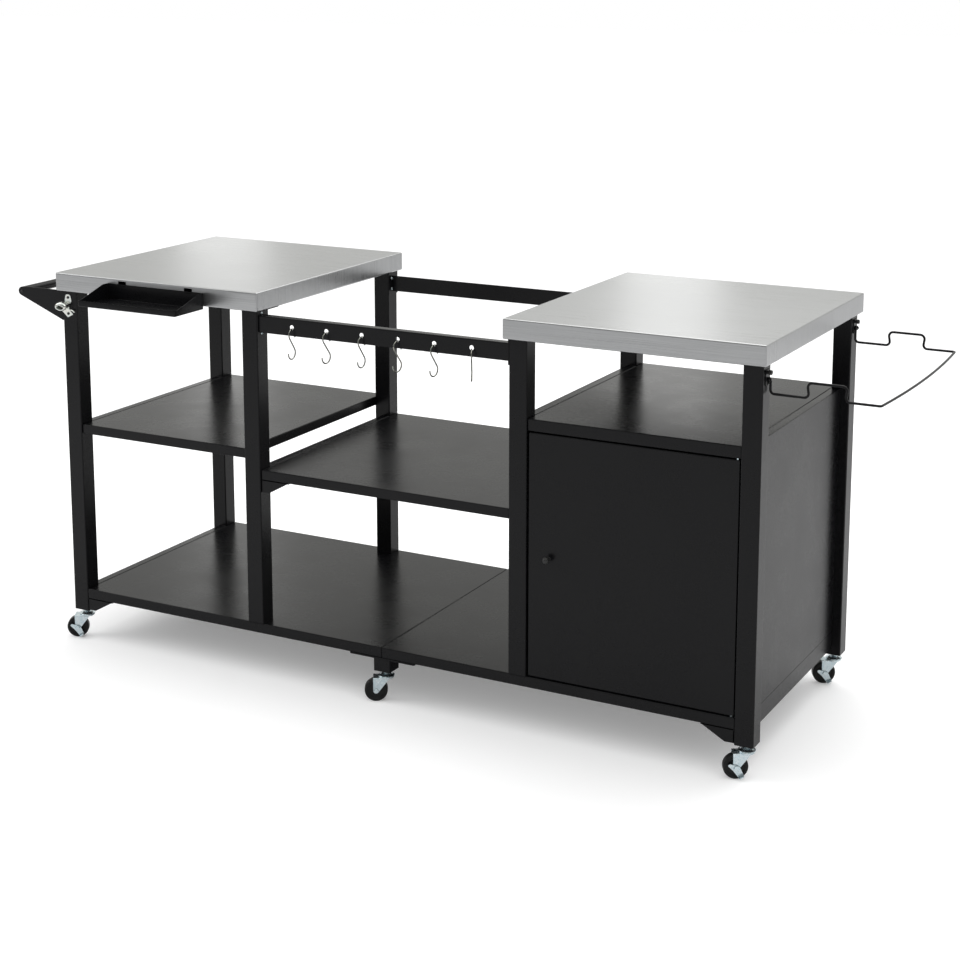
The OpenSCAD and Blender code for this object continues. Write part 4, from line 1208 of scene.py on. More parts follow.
@dataclass
class BayRails:
    """The pierced front rail of the bay with its hooks, and the flat rail at the back.

    Args:
        sheet: Sheet thickness of the front rail.
        flange: Depth of its upper flange.
        end_low: Height of an end plate below the rail.
        hole_r: Radius of the hanging holes.
        wire: Radius of a hook's wire.
        hang: Gap between the wire and the hole's edge at rest.
        hook: A hook's upper and lower radius, the drop between their centres and the shift to the front.
        hook_ends: Angle at which the upper bend starts, and the sweep of the lower bend, in degrees.
        bend_steps: Steps round each bend of a hook.
        yaws: How far each hook is turned, in degrees.
        lean: The hooks' lean at rest, in degrees.
        front_in: Distance of the front rail's face behind the legs' faces.
        back_in: Distance of the back rail behind the legs' faces.
        fold: Outside radius of the front rail's fold.
    """

    sheet: float = 1.5
    flange: float = 18.0
    end_low: float = 7.5
    hole_r: float = 5.15
    wire: float = 1.5
    hang: float = 0.45
    hook: tuple[float, float, float, float] = (12.0, 13.0, 40.0, 3.0)
    hook_ends: Point = (-42.0, 222.0)
    bend_steps: int = 34
    yaws: list[float] = field(default_factory=lambda: [0.0, 9.0, 5.0, 12.0, 8.0, -27.0])
    lean: float = 1.3
    front_in: float = 4.0
    back_in: float = 17.0
    fold: float = 2.4

    def span(self) -> tuple[float, float, float, float]:
        """Returns the bay's ends, and the rails' upper and lower edges."""
        xs, top = CART.legs_x(), CART.leg_top() - CART.rail_drop
        return xs[1] + CART.leg, xs[2], top, top - CART.rail_h

    def hole_places(self) -> list[float]:
        """Returns the places of the hanging holes along the cart."""
        x0, x1, _, _ = self.span()
        pitch = (x1 - x0) / (len(self.yaws) + 1)
        return [x0 + pitch * (i + 1) for i in range(len(self.yaws))]

    def ends(self, shape: Shape, y: float) -> None:
        """Adds the two end plates that bolt to the legs.

        Args:
            shape: The shape that they join.
            y: Their front edge.
        """
        x0, x1, _, low = self.span()
        top = CART.top_z - CART.top_edge
        line = rounded_rect((0, low - self.end_low), (CART.leg, top), 1.5)
        for x in (x0, x1 - CART.plate):
            shape.plate(line, CART.plate, endways(x, y))

    def front(self) -> None:
        """Builds the pierced rail: its face, the fold and the flange."""
        x0, x1, top, low = self.span()
        y, fold, t = CART.legs_y()[0] + self.front_in, self.fold, self.sheet
        shape = Shape()
        mid = (top + low) / 2
        face = [(x0, low), (x1, low), (x1, top - fold), (x0, top - fold)]
        holes = [(x, mid, self.hole_r) for x in self.hole_places()]
        shape.plate(face, t, upright(y=y + t), holes, 0.25)
        outer = arc((y + fold, top - fold), fold, 180, 90, 4)
        inner = arc((y + fold, top - fold), fold - t, 90, 180, 4)
        line = outer + [(y + self.flange, top), (y + self.flange, top - t)] + inner
        shape.skin([[(x, py, pz) for py, pz in line] for x in (x0, x1)])
        self.ends(shape, CART.legs_y()[0])
        shape.object("pierced_rail", POWDER, "frame", ["hook_rail"])

    def back(self) -> None:
        """Builds the flat back rail."""
        x0, x1, top, low = self.span()
        y = CART.legs_y()[1] + self.back_in
        shape = Shape()
        line = [(x0, low), (x1, low), (x1, top), (x0, top)]
        shape.plate(line, CART.plate, upright(y=y + CART.plate))
        self.ends(shape, CART.legs_y()[1])
        shape.object("flat_back_rail", POWDER, "frame", ["back_rail"])

    def hook_path(self) -> Ring:
        """Works out a hook's centre line in its own frame.

        Returns:
            Points from the tip behind the rail to the tip at the front.
        """
        r1, r2, drop, shifted = self.hook
        high, low = (0.0, -r1), (-shifted, -r1 - drop)
        heading = math.degrees(math.atan2(low[1] - high[1], low[0] - high[0]))
        spread = math.degrees(math.acos((r1 + r2) / math.hypot(low[0] - high[0], low[1] - high[1])))
        a_high, a_low = heading - spread, heading + 180 - spread
        start, sweep = self.hook_ends
        upper = arc(high, r1, start, 360 + a_high, self.bend_steps)
        lower = arc(low, r2, a_low, a_low - sweep, self.bend_steps)
        return [Vector((0, y, z)) for y, z in upper + lower]

    def hooks(self) -> None:
        """Builds the hooks, each on its own body."""
        _, _, top, low = self.span()
        y = CART.legs_y()[0] + self.front_in + self.sheet / 2
        z = (top + low) / 2 - self.hole_r + self.wire + self.hang
        for i, (x, yaw) in enumerate(zip(self.hole_places(), self.yaws), 1):
            frame = shift(x, y, z) @ turn("Z", -yaw) @ turn("X", self.lean)
            path = [frame @ p for p in self.hook_path()]
            shape = Shape().tube(path, self.wire, 16)
            shape.object(f"wire_hook_{i}", NICKEL, f"hook_{i}", [f"hook_{i}"], smooth=60)

    def build(self) -> None:
        """Builds both rails and the hooks."""
        self.front()
        self.back()
        self.hooks()


@dataclass
class PushHandle:
    """The push handle: two plates, a tube with plugs, and the bottle opener on the front plate.

    Args:
        bar_r: Radius of the tube.
        tip_r: Radius of a plate's tip.
        flat: Length of a plate's straight upper edge beyond the tabletop's end.
        low: Distance of a plate's lower edge below the worktop.
        gap: Gap between a plate and the tabletop above it.
    """

    bar_r: float = 10.0
    tip_r: float = 10.0
    flat: float = 81.0
    low: float = 111.0
    gap: float = 0.3

    def plate_line(self) -> list[Point]:
        """Works out the outline of a plate.

        Returns:
            Its points, anticlockwise.
        """
        top, low = CART.top_z - CART.top_edge - self.gap, CART.top_z - self.low
        right, left = CART.leg_in_x + CART.leg, CART.leg_in_x
        upper, lower = (-self.flat, top), (left, low)
        return [(right, low), (right, top), *round_tip(upper, lower, CART.bar, self.tip_r)]

    def plates(self) -> None:
        """Builds the two plates."""
        shape = Shape()
        for y in (CART.leg_in_y, CART.legs_y()[1] + CART.leg + CART.plate):
            shape.plate(self.plate_line(), CART.plate, upright(y=y), edge=0.35)
        shape.object("handle_plates", POWDER, "frame", ["handle_brackets"])

    def tube(self) -> None:
        """Builds the tube with its end plugs."""
        y0, y1, r = CART.leg_in_y, CART.legs_y()[1] + CART.leg, self.bar_r
        frame = shift(CART.bar[0], y0, CART.bar[1]) @ turn("X", -90)
        length = y1 - y0
        profile = [(r * 0.72, 0), (r - 0.6, 0), (r - 0.1, 0.4), (r - 0.1, 1.6), (r - 0.5, 1.9), (r, 2.3),
                   (r, length - 2.3), (r - 0.5, length - 1.9), (r - 0.1, length - 1.6),
                   (r - 0.1, length - 0.4), (r - 0.6, length), (r * 0.72, length)]
        Shape().lathe(profile, frame, 48).object("handle_tube", POWDER, "frame", ["handle_bar"])

    def opener(self) -> None:
        """Builds the opener: the tongue under the upper screw, the hood and the foot under the lower one."""
        y, x = CART.leg_in_y - CART.plate, CART.screw_x
        flat = upright(y=y)
        upper, lower = CART.screws_z
        shape = Shape()
        tongue = filleted([(x + 5, upper - 14), (x + 10, upper - 8), (x + 6.5, upper + 7),
                           (x - 6.5, upper + 7), (x - 10, upper - 8), (x - 6, upper - 14)],
                          [0, 5, 6, 6, 5, 0], 6)
        shape.plate(tongue, CART.opener_t, flat)
        foot = filleted([(x + 2, lower + 20), (x - 24, lower + 14), (x - 20, lower + 6), (x - 2, lower - 9),
                         (x + 14, lower - 1), (x + 3, lower + 9)], [0, 3, 6, 2, 1.5, 9], 5)
        shape.plate(foot, CART.opener_t, flat)
        self.hood(shape, x - 13, (upper + lower) / 2 - 1, y)
        ear = [Vector((x + 4, y - 1.6, lower + 9)), Vector((x + 10, y - 4.5, lower + 9.5)),
               Vector((x + 17, y - 6.0, lower + 8.5)), Vector((x + 22, y - 6.5, lower + 5))]
        shape.tube(filleted(ear, [0, 4, 4, 0]), 1.6, 12)
        shape.object("pressed_opener", SATIN, "frame", ["bottle_opener"], smooth=50)

    def hood(self, shape: Shape, cx: float, cz: float, y: float) -> None:
        """Adds the opener's oval hood, open towards the front.

        Args:
            shape: The shape that it joins.
            cx: Its centre along the cart.
            cz: Its centre's height.
            y: The face that it stands on.
        """
        stations = [(14.6, 8.9, 0.0, 0.0), (15.6, 9.9, 2.0, 0.4), (16.2, 10.3, 6.0, 0.2),
                    (16.2, 10.0, 10.5, -0.6), (15.4, 9.2, 14.0, -1.4), (13.8, 7.6, 15.8, -2.0),
                    (10.4, 4.6, 15.9, -3.2), (10.6, 4.8, 13.6, -3.2), (12.4, 6.8, 10.0, -1.8),
                    (13.2, 7.8, 5.0, -0.2), (12.8, 7.4, 1.6, 0.2)]
        rings = []
        for rx, rz, out, sag in stations:
            rings.append([(cx + rx * math.cos(a), y - out, cz + sag + rz * math.sin(a))
                          for a in (2 * math.pi * i / 40 for i in range(40))])
        shape.skin(rings)

    def build(self) -> None:
        """Builds the handle and the opener."""
        self.plates()
        self.tube()
        self.opener()


@dataclass
class Tray:
    """The folded front tray that hangs on two tabs.

    Args:
        centre: Its centre along the cart.
        width: Its width.
        depth: Its depth.
        back_h: Its height at the back.
        front_h: Its height at the front.
        top: Height of its back edge.
        sheet: Thickness of its sheet.
        tab_step: Distance between the tabs.
        tab_w: Width of a tab.
        tab_low: Distance of the tabs below the tray's upper edge.
        tab_hook: How far a tab turns down behind the slot.
        brow: Length of the level stretch at the back of an end wall's edge.
        brow_r: Radius of the bends in that edge.
        fold: Width of the bevelled folds.
    """

    centre: float = 280.0
    width: float = 262.0
    depth: float = 102.0
    back_h: float = 35.5
    front_h: float = 13.0
    top: float = 855.5
    sheet: float = 1.5
    tab_step: float = 180.0
    tab_w: float = 20.0
    tab_low: float = 4.0
    tab_hook: float = 6.0
    brow: float = 16.0
    brow_r: float = 16.0
    fold: float = 2.0

    def trough(self) -> None:
        """Builds the folded trough: its skin is bevelled at the folds, then thickened inwards."""
        x0, x1 = self.centre - self.width / 2, self.centre + self.width / 2
        z0, back, front = self.top - self.back_h, -CART.fit, -self.depth
        lip = z0 + self.front_h
        corners = [(back, self.top), (-self.brow, self.top), (front + self.brow * 0.6, lip), (front, lip)]
        edge = filleted(corners, [0, self.brow_r, self.brow_r, 0], 5)
        line = [(back, z0), *((p.x, p.y) for p in edge), (front, z0)]
        shape = Shape()
        left, right = ([shape.mesh.verts.new((x, y, z)) for y, z in line] for x in (x0, x1))
        shape.mesh.faces.new(left)
        shape.mesh.faces.new(right)
        for first, second in ((0, -1), (0, 1), (-2, -1)):
            shape.mesh.faces.new((left[first], right[first], right[second], left[second]))
        bmesh.ops.recalc_face_normals(shape.mesh, faces=shape.mesh.faces)
        folds = [e for e in shape.mesh.edges if len(e.link_faces) == 2]
        bmesh.ops.bevel(shape.mesh, geom=folds, offset=self.fold, segments=4, affect="EDGES", profile=0.5)
        bmesh.ops.recalc_face_normals(shape.mesh, faces=shape.mesh.faces)
        shape.object("tray_sheet", POWDER, "tray", ["tray"], thick=self.sheet, outward=False)

    def tabs(self) -> None:
        """Builds the tabs that reach through the slots and turn down."""
        shape = Shape()
        z, back, t = self.top - self.tab_low + CART.fit, CART.sheet + CART.fit, self.sheet
        start = -t - CART.fit
        for side in (-1, 1):
            x = self.centre + side * self.tab_step / 2 - self.tab_w / 2
            line = [(start, z), (back, z), (back, z - self.tab_hook), (back + t, z - self.tab_hook),
                    (back + t, z + t * 0.6), (back + t * 0.6, z + t), (start, z + t)]
            shape.skin([[(px, y, pz) for y, pz in line] for px in (x, x + self.tab_w)])
        shape.object("tray_tabs", POWDER, "tray")

    def build(self) -> None:
        """Builds the tray."""
        self.trough()
        self.tabs()


@dataclass
class BagHoop:
    """The folding wire hoop for a bag, with its clips and thumb screws.

    Args:
        wire: Radius of the wire.
        reach: Reach of the arms beyond the legs.
        bow: Outward bow of the outer bar.
        arm_in: Distance of an arm from its leg's centre line.
        drop: Height of the pivot below the worktop.
        fall: Height between the pivot and the arms.
        step: Start, length and lean of the raised step.
        clip: Thickness, width and height of a clip.
        clip_drop: Distance of a clip's upper edge below the worktop.
        knob_drop: Distance of a thumb screw below that edge.
        pin: Length of the wire's ends that turn in the ears.
        bar_steps: Steps along the outer bar.
        knob_steps: Steps round a thumb screw.
    """

    wire: float = 2.5
    reach: float = 216.5
    bow: float = 11.5
    arm_in: float = 8.0
    drop: float = 71.0
    fall: float = 29.0
    step: Triple = (71.0, 78.0, 4.5)
    clip: Triple = (2.0, 22.0, 30.0)
    clip_drop: float = 52.0
    knob_drop: float = 5.5
    pin: float = 12.0
    bar_steps: int = 24
    knob_steps: int = 60

    def face(self) -> float:
        """Returns the place of the legs' outer faces."""
        return CART.legs_x()[3] + CART.leg

    def pivot(self) -> Point:
        """Returns the pivot's place along the cart, and its height."""
        return self.face() + self.clip[0] + self.wire + CART.fit, CART.top_z - self.drop

    def mids(self) -> list[float]:
        """Returns the legs' centre lines across the cart."""
        return [y + CART.leg / 2 for y in CART.legs_y()]

    def arm(self, y: float, pin: float) -> list[Triple]:
        """Lists an arm's corners.

        Args:
            y: Place of the arm.
            pin: Place of the end that turns in the clip's ear.

        Returns:
            The corners from that end to the outer corner.
        """
        x, z = self.pivot()
        start, length, lean = self.step
        low = z - self.fall
        return [(x, pin, z), (x, y, z), (x, y, low), (x + start + lean, y, low),
                (x + start, y, z), (x + start + length, y, z), (x + start + length - lean, y, low),
                (self.face() + self.reach, y, low)]

    def hoop(self) -> None:
        """Builds the bent wire."""
        mids = self.mids()
        y0, y1 = mids[0] + self.arm_in, mids[1] - self.arm_in
        bends = [0, 4, 8, 8, 9, 9, 8, 5]
        bends += [0] * (self.bar_steps - 1) + bends[::-1]
        front, back = self.arm(y0, y0 - self.pin), self.arm(y1, y1 + self.pin)
        half, end, low = (y1 - y0) / 2, self.face() + self.reach, self.pivot()[1] - self.fall
        radius = (half ** 2 + self.bow ** 2) / (2 * self.bow)
        bar = []
        for i in range(self.bar_steps + 1):
            y = -half + 2 * half * i / self.bar_steps
            out = math.sqrt(radius ** 2 - y ** 2) - (radius - self.bow)
            bar.append((end + out, y0 + half + y, low))
        path = filleted(front + bar[1:-1] + back[::-1], bends, 7)
        Shape().tube(path, self.wire, 20).object("bent_hoop", POWDER, "bag_hoop", ["bag_hoop"], smooth=60)

    def clips(self) -> None:
        """Builds the clips with their ears."""
        t, w, h = self.clip
        x, z = self.pivot()
        top = CART.top_z - self.clip_drop
        shape = Shape()
        ear_r = self.wire + t
        for y in self.mids():
            flat = rounded_rect((y - w / 2, top - h), (y + w / 2, top), 2.5)
            shape.plate(flat, t, endways(self.face()), edge=0.35)
            round_end = arc((x, z), ear_r, -90, 90, 12)
            line = [(self.face() + t, z - ear_r), *round_end, (self.face() + t, z + ear_r)]
            shape.plate(line, t, upright(y=y + t / 2), [(x, z, self.wire + 0.06)], 0.2)
        shape.object("hoop_clips", POWDER, "frame", ["hoop_brackets"])

    def knobs(self) -> None:
        """Builds the knurled thumb screws."""
        shape = Shape()
        z = CART.top_z - self.clip_drop - self.knob_drop
        profile = [(3.0, 0, 0), (3.0, 1.4, 0), (4.1, 1.6, 0), (4.6, 2.2, 0.22), (4.6, 7.2, 0.22),
                   (4.1, 8.2, 0), (3.2, 8.5, 0), (0.0, 8.5, 0)]
        for y in self.mids():
            rings = []
            for r, out, knurl in profile:
                ring = []
                for i in range(self.knob_steps):
                    a = 2 * math.pi * i / self.knob_steps
                    reach = max(r - (knurl if i % 3 == 0 else 0), SMALLEST_R)
                    ring.append((reach * math.cos(a), reach * math.sin(a), out))
                rings.append(ring)
            shape.skin(rings, shift(self.face() + self.clip[0], y, z) @ turn("Y", 90))
        shape.object("thumb_screws", PLASTIC, "frame", ["hoop_knobs"], smooth=50)

    def build(self) -> None:
        """Builds the hoop, its clips and its screws."""
        self.hoop()
        self.clips()
        self.knobs()


@dataclass
class Casters:
    """The six casters: stem with its bearing plate, pressed fork, wheel and brake pedal.

    Args:
        height: Height of a leg's end.
        wheel_r: Radius of a wheel.
        wheel_w: Width of a wheel.
        trail: Distance of the axle behind the swivel axis.
        heading: Direction in which the wheels trail, in degrees.
        race_r: Radius of the bearing plate.
        wheel_gap: Clearance between a wheel and the crown of its fork.
        side_gap: Clearance between a wheel and a cheek.
        crown_h: Height of the fork's crown.
        overhang: Reach of the fork's roof behind the axle.
        plate: Thickness of the fork's and pedal's sheet.
        axle_r: Radius of the axle.
        stem: Radius of a stem and its reach into the leg.
        stem_nut: Radius and height of the nut under a leg.
        axle_nut: Radius and height of the nut on an axle.
        toe: Tilt and reach of a pedal's toe.
        heel: Tilt and reach of its heel, which carries the tread.
        tread: Half the width of the tread.
        ribs: Number of ribs on the tread.
        braked: Which casters have a pedal.
    """

    height: float = 70.0
    wheel_r: float = 25.0
    wheel_w: float = 20.0
    trail: float = 22.0
    heading: float = 210.0
    race_r: float = 18.0
    wheel_gap: float = 2.0
    side_gap: float = 1.2
    crown_h: float = 4.2
    overhang: float = 6.5
    plate: float = 2.0
    axle_r: float = 3.0
    stem: Point = (5.0, 20.0)
    stem_nut: Point = (8.5, 6.2)
    axle_nut: Point = (5.4, 2.1)
    toe: Point = (22.0, 18.0)
    heel: Point = (60.0, 20.0)
    tread: float = 5.5
    ribs: int = 4
    braked: tuple[int, ...] = (1, 3, 4, 6)

    def places(self) -> list[Point]:
        """Returns the swivel axes: three along the front, then three along the back."""
        xs = CART.legs_x()
        columns = [xs[0] + CART.leg / 2, CART.seam_x(), xs[3] + CART.leg / 2]
        return [(x, y + CART.leg / 2) for y in CART.legs_y() for x in columns]

    def cheek_y(self) -> float:
        """Returns the distance of a cheek's inner face from the wheel's middle."""
        return self.wheel_w / 2 + self.side_gap

    def races(self) -> None:
        """Builds the fixed bearing plates with their stems and nuts, and the rivets under the forks."""
        r, crown = self.race_r, self.crown_low()
        low = crown + self.crown_h + CART.fit
        stem, reach = self.stem
        dome = [(10.4, low + 4.3), (11.2, low + 3.9), (12.6, low + 2.6), (14.6, low + 1.7),
                (r - 1.8, low + 1.5), (r - 0.5, low + 1.3), (r, low + 0.7), (r - 0.5, low + 0.1),
                (r - 2.2, low)]
        rivet = [(7.2, crown - 0.3), (7.5, crown - 0.8), (6.9, crown - 2.0), (4.8, crown - 2.6),
                 (0.0, crown - 2.7)]
        profile = [(stem, self.height + reach), (stem, low + 4.4), *dome, (stem, low), (stem, crown - 0.3),
                   *rivet]
        shape = Shape()
        for x, y in self.places():
            shape.lathe(profile, shift(x, y, 0), 48)
            shape.nut(self.stem_nut[0], self.height - self.stem_nut[1], self.height, shift(x, y), 0.6)
        shape.object("caster_races", ZINC, "frame", ["caster_stems"])

    def cheek(self, inset: float = 0.0) -> list[Point]:
        """Works out a cheek's outline, in the trail's direction and upwards.

        Args:
            inset: How far the outline is drawn in.

        Returns:
            Its points, anticlockwise.
        """
        top = self.crown_low() + self.plate - inset
        front, rear = (inset * 2.2 - 8, top), (self.rear() - inset, top)
        return round_tip(front, rear, (self.trail, self.wheel_r), self.axle_r + 3 - inset)

    def crown_low(self) -> float:
        """Returns the height of the crown's lower face."""
        return 2 * self.wheel_r + self.wheel_gap

    def rear(self) -> float:
        """Returns the reach of the fork's roof behind the swivel axis."""
        return self.trail + self.overhang

    def pressed_cheek(self, shape: Shape, side: int, frame: Matrix) -> None:
        """Adds a cheek whose field is pressed in a little, inside a raised border.

        Args:
            shape: The shape that it joins.
            side: 1 for the cheek on the left of the trail, -1 for the other.
            frame: The caster's own frame.
        """
        inner, outer = self.cheek_y(), self.cheek_y() + self.plate
        levels = [(0.3, inner), (0.0, inner + 0.3), (0.0, outer - 0.4), (0.4, outer), (1.5, outer),
                  (2.2, outer - 0.45)]
        rings = []
        for inset, y in levels:
            rings.append([(u, side * y, z) for u, z in self.cheek(inset)])
        shape.skin(rings, frame)

    def roof(self, shape: Shape, frame: Matrix) -> None:
        """Adds the fork's roof, from the swivel to its rear corners, with its bent edges.

        Args:
            shape: The shape that it joins.
            frame: The caster's own frame.
        """
        low, half = self.crown_low(), self.cheek_y() + self.plate
        fold = 1.9
        bend_z = low + self.plate - fold
        left, right = arc((fold - half, bend_z), fold, 180, 90, 4), arc((half - fold, bend_z), fold, 90, 0, 4)
        section = [*left, *right, (half, low), (-half, low)]
        rings = [[(u, y, z) for y, z in section] for u in (6.0, self.rear() - 0.6)]
        rings.append([(self.rear(), y * 0.985, low + 0.3 + (z - low) * 0.7) for y, z in section])
        shape.skin(rings, frame)

    def fork(self, i: int, frame: Matrix) -> None:
        """Builds a fork: pressed crown and roof, two cheeks, axle, head and nut.

        Args:
            i: The caster's number.
            frame: The caster's own frame, x along the trail.
        """
        shape = Shape()
        r, low = self.race_r, self.crown_low()
        top = low + self.crown_h
        crown = [(5.1, top - 0.2), (r - 4.6, top - 0.1), (r - 2.4, top), (r - 1.2, top - 0.4),
                 (r - 0.9, top - 1.4), (r - 1.3, low + 1.0), (r - 2.2, low), (r - 4.0, low + 0.1),
                 (r - 5.6, low + 1.2), (5.1, low + 1.2)]
        shape.lathe(crown, frame, 48, Ends.JOINED)
        self.roof(shape, frame)
        for side in (1, -1):
            self.pressed_cheek(shape, side, frame)
        room = self.plate + 2 * CART.fit if i in self.braked else 0.0
        out = self.cheek_y() + self.plate
        axle = frame @ shift(self.trail, 0, self.wheel_r) @ turn("X", -90)
        a = self.axle_r
        end = out + room + self.axle_nut[1]
        rod = [(a + 1.2, -out - 2.1), (a + 2.0, -out - 1.8), (a + 2.4, -out - 1.2), (a + 2.5, -out),
               (a, -out), (a, out + room), (a, end), (a * 0.7, end + 0.1)]
        shape.lathe(rod, axle, 32)
        shape.nut(self.axle_nut[0], out + room, out + room + self.axle_nut[1], axle, 0.3)
        shape.object(f"pressed_fork_{i}", ZINC, f"swivel_{i}", [f"fork_{i}"])

    def wheel(self, i: int, frame: Matrix) -> None:
        """Builds a wheel: crowned tread, recessed web with a rim, and a boss.

        Args:
            i: The caster's number.
            frame: The caster's own frame.
        """
        r, half, bore = self.wheel_r, self.wheel_w / 2, self.axle_r + 0.06
        boss = self.cheek_y() - CART.fit
        side = [(bore, boss), (bore + 3.4, boss), (bore + 4.0, boss - 0.5), (bore + 4.2, half - 1.6),
                (r * 0.66, half - 1.7), (r * 0.70, half - 1.2), (r * 0.735, half - 0.1), (r - 3.6, half),
                (r - 1.9, half - 0.5), (r - 0.8, half - 1.6), (r - 0.15, half - 3.2), (r, half - 5.5)]
        profile = side + [(rad, -h) for rad, h in reversed(side)]
        shape = Shape().lathe(profile, frame @ upright(self.trail, 0, self.wheel_r), 72, Ends.JOINED)
        shape.object(f"moulded_wheel_{i}", RUBBER, f"wheel_{i}", [f"wheel_{i}"], smooth=42)

    def pedal(self, i: int, frame: Matrix) -> None:
        """Builds a brake pedal: a bent lever with a ribbed tread.

        Args:
            i: The caster's number.
            frame: The caster's own frame.
        """
        own = frame @ upright(self.trail, self.cheek_y() + 2 * self.plate + CART.fit, self.wheel_r)
        half = self.tread
        tip, heel = ((turn("Z", tilt) @ Vector((reach, 0, 0))).to_2d()
                     for tilt, reach in (self.toe, self.heel))
        across = heel.orthogonal().normalized() * half
        corners = [across - heel, Vector((-6.8, 3.4)), tip + Vector((-3.2, 2.6)),
                   tip + Vector((0.4, -1.6)), Vector((6.4, -5.0)), -heel - across]
        line = filleted(corners, [0, 9, 2.2, 2.2, 9, 0], 6)
        shape = Shape()
        shape.plate(line, self.plate, own, edge=0.35)
        tread = own @ turn("Z", self.heel[0]) @ shift(-self.heel[1], -half)
        lip = rounded_rect((0, -8), (self.plate, self.plate), 0.7, 3)
        shape.skin([[(x, y, z) for x, z in lip] for y in (0.0, 2 * half)], tread)
        for k in range(self.ribs):
            rib = [Vector((-0.1, y, -7.0 + 1.9 * k)) for y in (1.6, 2 * half - 1.6)]
            shape.tube([tread @ p for p in rib], 0.45, 8)
        shape.object(f"brake_lever_{i}", ZINC, f"pedal_{i}", [f"pedal_{i}"])

    def build(self) -> None:
        """Builds all six casters."""
        self.races()
        for i, (x, y) in enumerate(self.places(), 1):
            frame = shift(x, y, 0) @ turn("Z", self.heading)
            self.fork(i, frame)
            self.wheel(i, frame)
            if i in self.braked:
                self.pedal(i, frame)


@dataclass(frozen=True)
class Lamp:
    """A square soft lamp that faces the cart.

    Args:
        name: Its name.
        place: Where it hangs, in metres in the part's frame.
        size: Its side in metres.
        power: Its power in watts.
    """

    name: str
    place: Triple
    size: float
    power: float


def place_object(name: str, data: bpy.types.ID, place: Sequence[float] = (0, 0, 0),
                 turned: Sequence[float] = (0, 0, 0)) -> bpy.types.Object:
    """Puts an object in the scene.

    Args:
        name: The object's name.
        data: Its mesh, lamp or camera.
        place: Its place in metres.
        turned: Its angles in radians.

    Returns:
        The object.
    """
    made = bpy.data.objects.new(name, data)
    made.location = place
    made.rotation_euler = turned
    bpy.context.scene.collection.objects.link(made)
    return made


